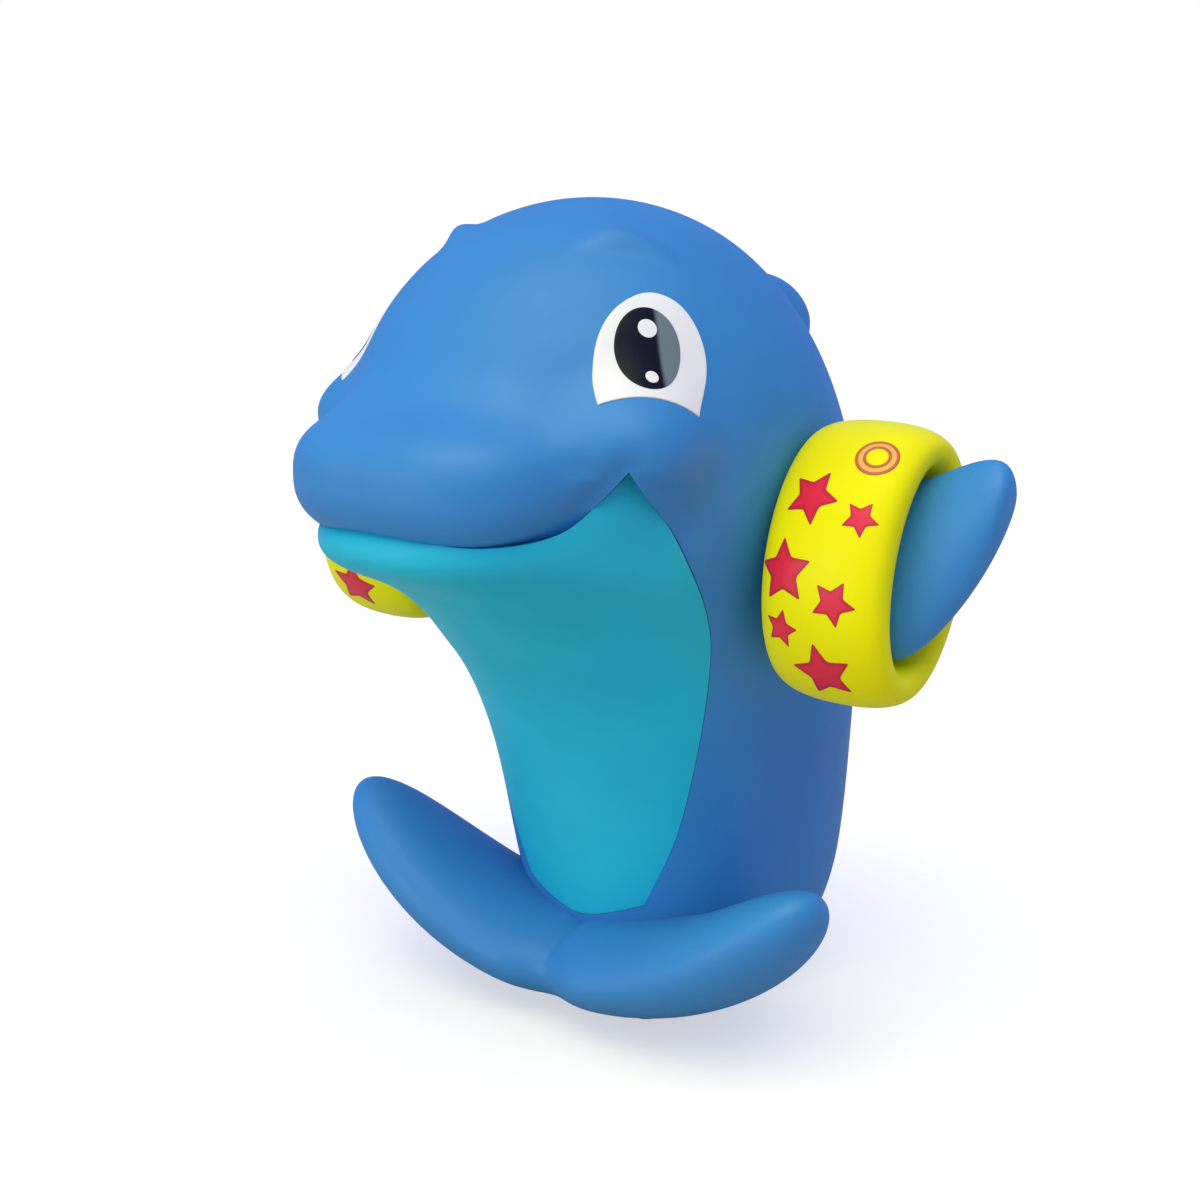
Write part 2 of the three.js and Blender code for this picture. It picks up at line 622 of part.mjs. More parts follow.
function basePlug() {
  return turned([
    [PLUG_BORE_RADIUS, FIT],
    [PLUG_FLANGE_RADIUS, FIT],
    [PLUG_FLANGE_RADIUS, FIT + PLUG_FLANGE_THICKNESS],
    [PLUG_STEM_RADIUS, FIT + PLUG_FLANGE_THICKNESS],
    [PLUG_STEM_RADIUS, plugHeadZ],
    [PLUG_HEAD_RADIUS, plugHeadZ],
    [PLUG_STEM_RADIUS, plugHeadZ + PLUG_HEAD_LENGTH],
    [PLUG_BORE_RADIUS, plugHeadZ + PLUG_HEAD_LENGTH],
    [PLUG_BORE_RADIUS, FIT],
  ], 0, plugY);
}

function ballast() {
  const bore = PLUG_STEM_RADIUS + FIT;
  return turned([
    [bore, ballastBase],
    [BALLAST_RADIUS, ballastBase],
    [BALLAST_RADIUS, ballastBase + BALLAST_HEIGHT],
    [bore, ballastBase + BALLAST_HEIGHT],
    [bore, ballastBase],
  ], 0, plugY);
}

function plugHole() {
  const seat = FIT + PLUG_FLANGE_THICKNESS + FIT;
  return toSolid(turned([
    [0, -FLOOR],
    [PLUG_FLANGE_RADIUS + FIT, -FLOOR],
    [PLUG_FLANGE_RADIUS + FIT, seat],
    [PLUG_STEM_RADIUS + FIT, seat],
    [PLUG_STEM_RADIUS + FIT, 2 * FLOOR],
    [0, 2 * FLOOR],
  ], 0, plugY));
}

// Hollow back: head, beak, fin and flanks in one skin, open for the panel, pegs, eyes and plug
function bodyShell(leftEyePocket) {
  const outside = castBody(backDepth, BEAK, 0, 0, SKIN);
  const hollow = castBody(backDepth, BEAK, -WALL, FLOOR, LINING);
  const leftBrow = brow();
  let shell = outside.add(toSolid(dorsalFin()));
  for (const form of [leftBrow, mirrored(leftBrow)]) {
    shell = shell.add(toSolid(form));
  }
  shell = shell.subtract(hollow);
  for (const side of [1, -1]) {
    const toSide = (p) => new THREE.Vector3(side * p.x, p.y, p.z);
    const boss = toSolid(bar(BOSS_RADIUS, toSide(onShoulder(bossFace)), toSide(onShoulder(armInner))));
    shell = shell.add(boss.intersect(outside));
  }
  for (const side of [1, -1]) {
    const from = new THREE.Vector3(side * (bossFace - BOSS_DEPTH), SHOULDER_Y, SHOULDER_Z);
    const to = new THREE.Vector3(side * (armInner + BOSS_DEPTH), SHOULDER_Y, SHOULDER_Z);
    shell = shell.subtract(toSolid(bar(PEG_RADIUS + FIT, from, to)));
    shell = shell.subtract(flukePeg(side, FIT));
  }
  for (const pocket of [leftEyePocket, mirrored(leftEyePocket)]) {
    shell = shell.subtract(toSolid(pocket));
  }
  return shell.subtract(panelWedge(FIT)).subtract(plugHole());
}

function bellyPanel() {
  const outside = castBody(bellyDepth, JAW, 0, 0, SKIN);
  const hollow = castBody(bellyDepth, JAW, -WALL, FLOOR, LINING);
  return outside.subtract(hollow).intersect(panelWedge(0));
}

function tailFlukes() {
  const clear = castBody(bellyDepth, JAW, FIT, 0, SKIN, FLOOR);
  const blade = toSolid(flukeBlade()).subtract(clear);
  return blade.add(flukePeg(1, 0)).add(flukePeg(-1, 0));
}

// Assembly
const BLUE = 0x3f86cb;
const TURQUOISE = 0x33b4c8;
const YELLOW = 0xe6e415;
const dolphin = new THREE.Group();

function place(name, geometry, color, roughness, metalness = 0) {
  const material = new THREE.MeshStandardMaterial({ color, roughness, metalness });
  const mesh = new THREE.Mesh(geometry, material);
  mesh.name = name;
  dolphin.add(mesh);
}

function placePair(name, geometry, color, roughness) {
  place(`${name}_left`, geometry, color, roughness);
  place(`${name}_right`, mirrored(geometry), color, roughness);
}

const eyeEdge = eyeOutline();
const pupilEdge = pupilOutline();
const eyePocketFloor = EYE_PROUD - EYE_THICKNESS - FIT;
const pupilBase = PUPIL_PROUD - PUPIL_THICKNESS;
const eyePocket = skinPlate(growOutline(eyeEdge, FIT), WALL, eyePocketFloor);
const pupilPocket = skinPlate(growOutline(pupilEdge, FIT), WALL, pupilBase - FIT);
const eyePlate = toSolid(skinPlate(eyeEdge, EYE_PROUD, EYE_PROUD - EYE_THICKNESS));

place('body_shell', toGeometry(bodyShell(eyePocket)), BLUE, 0.45);
place('belly_panel', toGeometry(bellyPanel()), TURQUOISE, 0.45);
place('tail_flukes', toGeometry(tailFlukes()), BLUE, 0.45);
placePair('flipper', flipper(), BLUE, 0.45);
placePair('armband', armband(), YELLOW, 0.4);
placePair('flipper_retainer', retainer(), 0xe9e6dc, 0.5);
placePair('eye_white', toGeometry(eyePlate.subtract(toSolid(pupilPocket))), 0xf7f9fa, 0.3);
placePair('pupil', skinPlate(pupilEdge, PUPIL_PROUD, pupilBase), 0x12151f, 0.12);
place('base_plug', basePlug(), 0xd8dde2, 0.5);
place('ballast_weight', ballast(), 0x8a8d91, 0.35, 1);

export default dolphin;
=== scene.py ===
"""Dresses the dolphin bath toy: cast vinyl skins, inlaid eyes, printed armbands, studio and camera."""
import math

import bpy
import numpy as np
from bpy.props import FloatProperty, FloatVectorProperty, PointerProperty
from bpy.types import Operator, Panel, PropertyGroup
from mathutils import Matrix, Vector


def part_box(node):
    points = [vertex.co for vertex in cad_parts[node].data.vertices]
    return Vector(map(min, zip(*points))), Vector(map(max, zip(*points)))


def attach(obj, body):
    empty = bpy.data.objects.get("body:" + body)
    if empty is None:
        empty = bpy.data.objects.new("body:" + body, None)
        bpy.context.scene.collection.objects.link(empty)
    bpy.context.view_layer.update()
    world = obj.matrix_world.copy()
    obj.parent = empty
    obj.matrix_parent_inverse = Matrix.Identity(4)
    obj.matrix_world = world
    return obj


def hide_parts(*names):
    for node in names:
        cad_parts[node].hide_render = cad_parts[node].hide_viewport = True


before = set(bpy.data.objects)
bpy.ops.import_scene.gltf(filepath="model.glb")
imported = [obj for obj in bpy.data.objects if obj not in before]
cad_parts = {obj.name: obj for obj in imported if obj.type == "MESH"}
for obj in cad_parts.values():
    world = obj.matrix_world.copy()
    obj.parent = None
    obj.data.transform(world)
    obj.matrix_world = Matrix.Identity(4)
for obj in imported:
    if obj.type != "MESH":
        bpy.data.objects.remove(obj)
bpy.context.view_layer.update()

bl_info = {
    "name": "Dolphin Bath Toy",
    "version": (1, 0, 0),
    "blender": (4, 5, 0),
    "location": "View3D > Sidebar > Bath Toy",
    "description": "Dresses a packed dolphin bath toy with vinyl skins, eyes, prints and a studio",
    "category": "Object",
}

MM = 0.001

# Rounded masses of the body, in millimetres: centre, half sizes and bluntness, which is 2 for an oval
HEAD = ((0, -25, 95.6), (34, 39.6, 35), 2)
CHEST = ((0, -6, 68.5), (30.5, 33.5, 34), 2)
HIP = ((0, -1, 28.5), (27.5, 29, 36.5), 2)
BEAK = ((0, -52, 92.8), (23.2, 24.8, 11), 2.6)
JAW = ((0, -50, 83.8), (20.5, 25.4, 6.6), 2.3)
CHEEK = ((26.6, -48, 97.2), (6.4, 7.4, 6), 2)

# How widely the masses round into each other where they meet
TORSO_BLEND = 22
BEAK_BLEND = 7
JAW_BLEND = 12
CHEEK_BLEND = 9

# Finding a skin along a ray: how far out to start, the step inwards, and the halvings after that
RAY_REACH = 132.0
RAY_STEP = 2.0
RAY_HALVINGS = 24

# Step that a skin's slope is measured over, and how often a point is moved to settle on a skin
SLOPE_STEP = 0.02
SETTLE_TIMES = 6

# Line under the throat that the rings of the blue skin turn round
BEND_Y = BEAK[0][1] - 6
BEND_Z = CHEST[0][2] - 4.5

# Rings of the blue skin up the trunk, round the head and along the beak, and the points in each
BODY_RINGS = (70, 150, 56)
BODY_ROUND = 256

# Flat base: how far out its rings lie, and the part by which its edge is drawn in
BASE_RINGS = (0, 0.4, 0.75, 0.93)
BASE_EDGE = 0.02

# Brow ridges: place, half length and half width, bow and turn
BROW_PLACE = (15, -37.5)
BROW_HALF = (9, 3)
BROW_BOW = 1.6
BROW_YAW = math.radians(50)

# Smile: the crease that runs from the beak through each corner of the mouth, and where it fades
SMILE = ((23.4, -58.6, 96.3), (25.9, -56.2, 95), (29.5, -53.9, 94.3), (30.8, -47.3, 91.2))
SMILE_FADE = (0.12, 0.94)
SMILE_WIDTH = 2.1
SMILE_SPACING = 0.4

# Upper lip: width of its roll, and the angles over which the roll grows towards a corner of the mouth
UPPER_LIP_WIDTH = 3.4
UPPER_LIP_SPAN = (math.radians(12), math.radians(21))
UPPER_LIP_SPACING = 0.6

# Dorsal fin: (y, z) points of its leading and trailing edges up to the tip, thickness at root and tip
FIN_TIP = (35.3, 108.5)
FIN_LEADING = ((0, 114), (14, 121), (34.4, 117.6))
FIN_TRAILING = ((20, 78), (27, 90), (34.8, 100))
FIN_THICKNESS = (12, 5)
FIN_BLUNTNESS = 6
FIN_FILLET = 4.5
FIN_RINGS = 40
FIN_ROUND = 72
FILLET_RINGS = 12

# Hidden skirt of the fin: how far it runs past the fillet, and its three steps down into the body
FIN_SKIRT = 0.8
FIN_SKIRT_DROPS = (0.25, 1.5, 4)

# Belly panel: its edge is an angle round an upright line inside the chest, at each height
PANEL_AXIS_Y = 5
PANEL_RADIUS = CHEST[1][1]
PANEL_SIDE = (
    (4.5, 17.2), (20.5, 20.4), (29.3, 32.6), (34.6, 47.8),
    (36.8, 62), (36, 71.5), (31.8, 83), (26.2, 95.2),
)
PANEL_MOUTH = ((26.2, 95.2), (22.6, 90.9), (18.2, 86.6), (12, 85.4), (3.4, 86.7))
PANEL_HEIGHT = 78
PANEL_THICKNESS = 1.6
PANEL_RINGS = 240
PANEL_ACROSS = 92

# Rolled edge of the panel: where its rows lie, as parts of the roll's radius
PANEL_ROLL = (0, 0.06, 0.22, 0.5, 0.75, 1)

# Lower lip: where the panel starts to thicken, by how much, and the ledge that runs in under the beak
LOWER_LIP_START = 0.95
LOWER_LIP_DEPTH = 1.2
LEDGE_REACH = (0.5, 1.5, 3, 6)
LEDGE_THICKNESS = 1.4

# Bed that is cut for the panel: reach outwards, depth at the belly and under the beak, and its rings
BED_REACH = 16
BED_DEPTH = (4, 10)
BED_MOUTH_START = 0.9
BED_RINGS = 130
BED_ACROSS = 80

# Eyes: direction from the middle of the head, then outlines in the plane that touches it there
EYE_AZIMUTH = math.radians(52.1)
EYE_ELEVATION = math.radians(23.6)
EYE_ARCH = (
    (-9.0, -6.7), (-8.5, -2), (-6.6, 3.6), (-3, 7.7), (2, 9.7),
    (6.2, 8), (8.5, 3.4), (8.6, -2.5), (5.6, -9.2),
)
EYE_LOWER_LID = (-1.8, -5.6)
EYE_SPACING = 0.4
PUPIL_CENTRE = (-0.1, 0.9)
PUPIL_HALF = (4.85, 6.4)
PUPIL_LEAN = math.radians(-13)
GLINTS = ((0.4, 3.9, 1.4), (-0.7, -3.5, 0.95))

# Plates of the eye: height of the front off the head, height of the back, and radius of the edge
EYE_PLATE = (0.22, -0.8, 0.2)
PUPIL_PLATE = (0.34, 0, 0.1)
GLINT_BACK = 0.2
GLINT_EDGE = 0.03

# Grey side of a pupil: how it leans, and the distances from the eye's middle over which it fades in
SHEEN_LEAN = math.radians(-6)
SHEEN_EDGE = (1.0, 1.9)

# Tail flukes: one curled blade from tip to tip, notched in the middle, on a low heel
FLUKE_HALF_SPAN = 45.6
FLUKE_RISE = 21.8
FLUKE_ROOT = (-25, 9.2)
FLUKE_SWEEP = 6
FLUKE_HALF_CHORD = (15.5, 13)
FLUKE_HALF_THICKNESS = (7.2, 8)
FLUKE_NOTCH = (1.2, 5)
FLUKE_HEEL = (3, 15)
FLUKE_HEEL_RUN = 5
FLUKE_TWIST = math.radians(-12)
FLUKE_CURL = 2.3
FLUKE_RINGS = 181
FLUKE_ROUND = 80

# How late the tail rounds off, narrows and sweeps back towards its tips: a higher power is later
FLUKE_TIP_POWER = 4.5
FLUKE_CHORD_POWER = 1.6
FLUKE_SWEEP_POWER = 1.5

# Power that crowds the tail's rings towards its middle, for the fold there: its depth, half width and power
FLUKE_CROWDING = 1.35
FLUKE_FOLD = (1.1, 3.2, 1.6)

# Height over which the tail rounds into its flat sole
FLUKE_SOLE_ROUND = 0.8

# Shoulder, and the peg and its hole in the flank: gap, middle of the hole from the centre, and depth
SHOULDER = (-18, 79)
REST_LEAN = math.radians(-16)
PEG_RADIUS = 4.6
PEG_GAP = 0.3
PEG_CHAMFER = 0.4
PEG_HOLE_X = 36
PEG_HOLE_DEPTH = 24

# Armband: half sizes across and up, half sizes of its opening, and how full its section is
ARMBAND_HALF = (15.2, 20.8)
ARMBAND_BORE = (5.6, 13.5)
ARMBAND_PUFF = 0.82
ARMBAND_RINGS = 161
ARMBAND_ROUND = 72

# Flipper: neck and rounded start of the arm as (run, shrink), then the blade
ARM_NECK = 0.3
ARM_START = ((0, 1.2), (0.4, 0.4), (1.2, 0))
FLIPPER_FLARE = 3
FLIPPER_TIP_HEIGHT = 11.8
FLIPPER_CREST = 10.5
FLIPPER_CREST_START = 0.25
FLIPPER_BELLY = 10.6
FLIPPER_BELLY_START = 0.33
FLIPPER_TIP_THICKNESS = 6
FLIPPER_BLUNTNESS = 6
FLIPPER_RINGS = 60
FLIPPER_ROUND = 88

# Printed stars on an armband: angle round it, place across it, radius and turn
STARS = (
    (158.6, -2.3, 4.4, 50), (164.9, 5.9, 2.8, -24), (189.7, -4.6, 4.9, 6), (199.5, 3.8, 3.5, -26),
    (213.8, -4.8, 3.0, 60), (233.6, 1.4, 5.0, 10), (283, 1.0, 3.6, 12), (304, -4.8, 3.0, 60),
    (306, 4.6, 4.2, 150), (333, -1.4, 4.6, 200), (358, 5.4, 3.2, 20), (6, -4.8, 4.0, 75),
    (31, 1.8, 4.6, 130), (55, -4.4, 3.0, 10), (62, 5.0, 4.0, 90),
)
STAR_POINTS = 5
STAR_WAIST = 0.5
STAR_RINGS = (0, 0.25, 0.5, 0.7, 0.85, 0.94, 1)

# Printed double ring on an armband: its angle and place across, radii of its lines and half their width
VALVE = (135.4, 4.9)
VALVE_RINGS = (2.95, 1.8)
VALVE_LINE = 0.22
VALVE_ROUND = 72
VALVE_FILL_RINGS = 4

# How deep a film of ink reaches under the vinyl, and how near its edge an even film counts as being
INK_SINK = 0.1
EVEN_INK = 0.5

# Part of the armband's section that print is laid out over, and the small turn that slopes are taken over
SECTION_EDGE = 0.15
SECTION_STEPS = 400
SMALL_TURN = 1e-4

# Plug in the base: thickness of its cap, rim, dish inside the rim, squirt bore, and the bed cut for it
PLUG_CAP = 1.4
PLUG_RIM = 0.9
PLUG_DISH = 0.3
PLUG_BORE = 1.1
PLUG_BORE_DEPTH = 0.8
PLUG_EDGE = 0.18
PLUG_BED = 4

# Soft PVC: widths of its drifts of pigment, drifts of polish and ripples, then depths of ripples and grain
VINYL_CLOUD = 26
VINYL_POLISH = 9
VINYL_RIPPLE = 7
VINYL_RIPPLE_DEPTH = 0.12
VINYL_GRAIN_DEPTH = 0.02
VINYL_TINTS = (0.95, 1.05)
VINYL_IOR = 1.53

# Printing ink: width of its mottle, and where its edge starts and ends to pool darker
INK_MOTTLE = 1.6
INK_POOL = (0.62, 0.92)
INK_IOR = 1.5

# Part of a noise texture's range that its drifts are taken from
NOISE_RANGE = (0.3, 0.7)

# Angles past which an edge stays sharp
SKIN_CREASE = math.radians(50)
PLUG_CREASE = math.radians(35)

# Points closer than this, in metres, are one
WELD = 1e-7

# Floor, in metres: its size, and how far it lies under the toy
FLOOR_SIZE = 6
FLOOR_DROP = 0.0002

# How much of the floor is white of its own, and how bright that is in the picture
PAPER_WHITE = 0.34
PAPER_GLOW = 1.65

# Broad lights: the way they come from, strength, spread in degrees and colour
KEY_LIGHT = ((0.22, -0.42, 1.0), 2.05, 56, (1.0, 0.95, 0.44))
FRONT_LIGHT = ((-0.4, -1.0, 0.02), 1.25, 40, (1.0, 0.99, 0.92))

# Cool light from all round, where the picture itself shows plain white
FILL_STRENGTH = 0.46
FILL_COLOUR = (0.52, 0.66, 1.95, 1)
WHITE = (1, 1, 1, 1)

# The photograph's camera: where it looks, from which side and how far off
AIM = Vector((0, -23, 68)) * MM
CAMERA_AZIMUTH = math.radians(38)
CAMERA_ELEVATION = math.radians(13)
CAMERA_DISTANCE = 300 * MM
FOCAL_PIXELS = 1890
PHOTO_PIXELS = 1200
SENSOR_WIDTH = 36
NEAR_CLIP = 0.01


def linear(code):
    """A linear colour from an sRGB hex value."""
    values = [int(code[i:i + 2], 16) / 255 for i in (0, 2, 4)]
    return [v / 12.92 if v <= 0.04045 else ((v + 0.055) / 1.055) ** 2.4 for v in values] + [1.0]


class DolphinColours(PropertyGroup):
    """Colours of the toy's vinyls and inks."""

    blue: FloatVectorProperty(
        name="Body Blue", description="Vinyl of the back, tail and flippers",
        subtype="COLOR", size=4, min=0, max=1, default=linear("368bc0"))
    turquoise: FloatVectorProperty(
        name="Belly Turquoise", description="Vinyl of the belly and lower jaw",
        subtype="COLOR", size=4, min=0, max=1, default=linear("1fc4cf"))
    yellow: FloatVectorProperty(
        name="Armband Yellow", description="Vinyl of the armbands",
        subtype="COLOR", size=4, min=0, max=1, default=linear("fff400"))
    star: FloatVectorProperty(
        name="Star Red", description="Ink of the printed stars",
        subtype="COLOR", size=4, min=0, max=1, default=linear("ec1c36"))
    valve: FloatVectorProperty(
        name="Valve Orange", description="Ink of the printed double ring",
        subtype="COLOR", size=4, min=0, max=1, default=linear("d06a2a"))
    valve_fill: FloatVectorProperty(
        name="Valve Peach", description="Ink between the two lines of the printed ring",
        subtype="COLOR", size=4, min=0, max=1, default=linear("f6b84a"))
    eye: FloatVectorProperty(
        name="Eye White", description="White of the eyes and their glints",
        subtype="COLOR", size=4, min=0, max=1, default=linear("fffae6"))
    pupil: FloatVectorProperty(
        name="Pupil Black", description="Dark part of the pupils",
        subtype="COLOR", size=4, min=0, max=1, default=linear("10121c"))
    sheen: FloatVectorProperty(
        name="Pupil Sheen", description="Grey part of the pupils",
        subtype="COLOR", size=4, min=0, max=1, default=linear("72827d"))


class DolphinForm(PropertyGroup):
    """Small sizes of the toy's skins and print."""

    brow_height: FloatProperty(
        name="Brow Height", description="How far a brow ridge stands off the head",
        unit="LENGTH", default=1.5 * MM, min=0, max=3 * MM)
    panel_gap: FloatProperty(
        name="Panel Gap", description="Gap round the belly panel",
        unit="LENGTH", default=0.03 * MM, min=0.01 * MM, max=1 * MM)
    panel_lip: FloatProperty(
        name="Panel Lip", description="Radius of the belly panel's edge along its sides",
        unit="LENGTH", default=0.08 * MM, min=0.05 * MM, max=1 * MM)
    smile_depth: FloatProperty(
        name="Smile Depth", description="How deep the crease at each corner of the mouth is",
        unit="LENGTH", default=1.4 * MM, min=0, max=2 * MM)
    lip_roll: FloatProperty(
        name="Lip Roll", description="How far the upper lip rolls in towards the mouth",
        unit="LENGTH", default=1.4 * MM, min=0, max=2 * MM)
    ink_height: FloatProperty(
        name="Ink Height", description="Thickness of the printed ink",
        unit="LENGTH", default=0.05 * MM, min=0.01 * MM, max=0.2 * MM)
    # The real grain is about 0.15 mm wide, and is drawn coarser than that so that it shows in the render
    grain: FloatProperty(
        name="Vinyl Grain", description="Width of the fine grain left by the mould, as drawn",
        unit="LENGTH", default=0.7 * MM, min=0.1 * MM, max=5 * MM)


# Skins of the body as distances, in millimetres


def lerp(a, b, part):
    """The value that lies part of the way from a to b."""
    return a + (b - a) * part


def mirrored_points(points):
    """Points folded over onto the toy's left side."""
    folded = points.copy()
    folded[..., 0] = np.abs(folded[..., 0])
    return folded


def depth(points, form):
    """Distance of points to a rounded mass, negative inside it."""
    centre, half, power = (np.array(value, float) for value in form)
    scaled = np.abs(points - centre) / half
    near = np.sum(scaled ** power, axis=-1) ** (1 / power)
    steep = np.linalg.norm(scaled ** (power - 1) / half, axis=-1)
    return near ** (power - 1) * (near - 1) / np.maximum(steep, 1e-9)


def blend(a, b, width):
    """The nearer of two distances, rounded over a width where the two masses meet."""
    overlap = np.maximum(width - np.abs(a - b), 0) / width
    return np.minimum(a, b) - overlap ** 2 * width / 4


def torso_depth(points):
    """Head, chest and hips as one mass."""
    upper = blend(depth(points, HEAD), depth(points, CHEST), TORSO_BLEND)
    return blend(upper, depth(points, HIP), TORSO_BLEND)


def back_depth(points):
    """Blue skin: trunk, head, beak and cheeks."""
    snout = blend(torso_depth(points), depth(points, BEAK), BEAK_BLEND)
    return blend(snout, depth(mirrored_points(points), CHEEK), CHEEK_BLEND)


def belly_depth(points):
    """Turquoise skin: trunk, head and lower jaw."""
    return blend(torso_depth(points), depth(points, JAW), JAW_BLEND)


def halved(within, inside, outside, times):
    """Narrows down by halving where values stop being within."""
    for _ in range(times):
        middle = (inside + outside) / 2
        hit = within(middle)
        inside = np.where(hit, middle, inside)
        outside = np.where(hit, outside, middle)
    return inside


def skin_points(skin, origins, directions, offset=0.0):
    """Outermost points of a skin along rays, with the skin swollen or shrunk by an offset."""
    origins, directions = np.broadcast_arrays(np.asarray(origins, float), np.asarray(directions, float))
    shape = origins.shape
    origins = origins.reshape(-1, 3)
    directions = directions.reshape(-1, 3)
    offset = np.broadcast_to(offset, shape[:-1]).reshape(-1)
    inside = np.zeros(len(origins))
    seeking = np.arange(len(origins))
    for distance in np.arange(RAY_REACH, 0, -RAY_STEP):
        hit = skin(origins[seeking] + directions[seeking] * distance) <= offset[seeking]
        inside[seeking[hit]] = distance
        seeking = seeking[~hit]

    def within(distance):
        return skin(origins + directions * distance[:, None]) <= offset

    inside = halved(within, inside, inside + RAY_STEP, RAY_HALVINGS)
    return (origins + directions * inside[:, None]).reshape(shape)


def skin_normals(skin, points):
    """Directions straight out of a skin at points on it."""
    slope = [skin(points + SLOPE_STEP * axis) - skin(points - SLOPE_STEP * axis) for axis in np.eye(3)]
    slope = np.stack(slope, -1)
    return slope / np.linalg.norm(slope, axis=-1, keepdims=True)


def onto_skin(skin, points):
    """Moves points that lie near a skin onto it."""
    for _ in range(SETTLE_TIMES):
        points = points - skin_normals(skin, points) * skin(points)[..., None]
    return points


# Curves and outlines


def full_turn(count):
    """Angles evenly spaced round a full turn."""
    return np.linspace(0, 2 * math.pi, count, endpoint=False)


def spline(points, count):
    """A smooth curve through points."""
    points = np.array(points, float)
    last = len(points) - 1
    where = np.linspace(0, last, count + 1)
    index = np.minimum(where.astype(int), last - 1)
    t = (where - index)[:, None]
    p0, p1 = points[np.maximum(index - 1, 0)], points[index]
    p2, p3 = points[index + 1], points[np.minimum(index + 2, last)]
    v0, v1 = (p2 - p0) / 2, (p3 - p1) / 2
    return (2 * p1 - 2 * p2 + v0 + v1) * t ** 3 + (-3 * p1 + 3 * p2 - 2 * v0 - v1) * t ** 2 + v0 * t + p1


def bezier(points, t):
    """Points at parts t of the way along a curve with four control points."""
    t = np.asarray(t, float)[..., None]
    a, b, c, d = (np.array(p, float) for p in points)
    return (1 - t) ** 3 * a + 3 * (1 - t) ** 2 * t * b + 3 * (1 - t) * t ** 2 * c + t ** 3 * d


def arch(first, middle, last, t):
    """Points at parts t of the way along a curve that bends once, towards its middle point."""
    return (1 - t) ** 2 * first + 2 * t * (1 - t) * middle + t ** 2 * last


def chain_length(points):
    """How far along a chain of points each of them lies."""
    return np.concatenate(([0], np.cumsum(np.linalg.norm(np.diff(points, axis=0), axis=1))))


def along_chain(points, part):
    """Points at parts of the way along a chain of points."""
    length = chain_length(points)
    return np.stack([np.interp(part * length[-1], length, column) for column in points.T], -1)


def evenly(points, spacing):
    """Points at an even spacing along a chain of points, ends kept."""
    count = max(2, round(chain_length(points)[-1] / spacing) + 1)
    return along_chain(points, np.linspace(0, 1, count))


def grow(outline, distance):
    """An outline against the clock, moved out by a distance, or at most twice that at a corner."""
    before = outline - np.roll(outline, 1, axis=0)
    after = np.roll(outline, -1, axis=0) - outline
    before = before / np.linalg.norm(before, axis=1, keepdims=True)
    after = after / np.linalg.norm(after, axis=1, keepdims=True)
    out = np.stack([before[:, 1] + after[:, 1], -before[:, 0] - after[:, 0]], -1)
    out = out / np.linalg.norm(out, axis=1, keepdims=True)
    spread = np.maximum(out[:, 0] * before[:, 1] - out[:, 1] * before[:, 0], 0.5)
    return outline + out * (distance / spread)[:, None]


def closed_rows(front, back):
    """Rings that run across a front and return across a back, with both ends drawn together."""
    rows = np.concatenate([front, back[:, ::-1]], axis=1)
    ends = [(rows[i] + rows[i][::-1]) / 2 for i in (0, -1)]
    return np.concatenate([ends[:1], rows, ends[1:]])


# Making, cutting, copying and dressing pieces


def named(piece, name):
    """Gives a piece and its mesh one name."""
    piece.name = name
    piece.data.name = name
    return piece


def select_only(piece):
    """Selects one piece alone and makes it active."""
    bpy.ops.object.select_all(action="DESELECT")
    piece.select_set(True)
    bpy.context.view_layer.objects.active = piece


def lattice(name, rows):
    """A grid drawn over rows of points in millimetres, each a closed ring, welded where they meet."""
    rows = np.concatenate([rows, rows[:, :1]], axis=1)
    bpy.ops.object.select_all(action="DESELECT")
    bpy.ops.mesh.primitive_grid_add(
        x_subdivisions=rows.shape[1] - 1, y_subdivisions=rows.shape[0] - 1, size=1)
    piece = named(bpy.context.object, name)
    piece.data.vertices.foreach_set("co", (rows * MM).ravel())
    bpy.ops.object.mode_set(mode="EDIT")
    bpy.ops.mesh.select_all(action="SELECT")
    bpy.ops.mesh.remove_doubles(threshold=WELD)
    bpy.ops.mesh.normals_make_consistent(inside=False)
    bpy.ops.object.mode_set(mode="OBJECT")
    bpy.ops.object.shade_smooth()
    return piece


def cylinder(sides, radius, height, place, turned=(0, 0, 0)):
    """A cylinder at its size and place, in metres."""
    bpy.ops.object.select_all(action="DESELECT")
    bpy.ops.mesh.primitive_cylinder_add(
        vertices=sides, radius=radius, depth=height, location=place, rotation=turned)
    return bpy.context.object


def joined(name, pieces):
    """Several pieces made one, under the given name."""
    select_only(pieces[0])
    for piece in pieces[1:]:
        piece.select_set(True)
    if len(pieces) > 1:
        bpy.ops.object.join()
    return named(bpy.context.view_layer.objects.active, name)


def mirrored_copy(left):
    """The right side's copy of a left piece, with its own mesh."""
    select_only(left)
    bpy.ops.object.duplicate(linked=False)
    right = named(bpy.context.object, left.name.replace("_left", "_right"))
    bpy.ops.object.mode_set(mode="EDIT")
    bpy.ops.mesh.select_all(action="SELECT")
    bpy.ops.transform.resize(value=(-1, 1, 1), center_override=(0, 0, 0))
    bpy.ops.mesh.flip_normals()
    bpy.ops.object.mode_set(mode="OBJECT")
    return right


def cut(piece, tool):
    """Cuts a tool's shape out of a piece and removes the tool."""
    select_only(piece)
    knife = piece.modifiers.new("Cut", "BOOLEAN")
    knife.operation = "DIFFERENCE"
    knife.solver = "MANIFOLD"
    knife.object = tool
    bpy.ops.object.modifier_apply(modifier=knife.name)
    bpy.data.objects.remove(tool)
    if not piece.data.polygons:
        raise RuntimeError(f"The cut left nothing of {piece.name}")


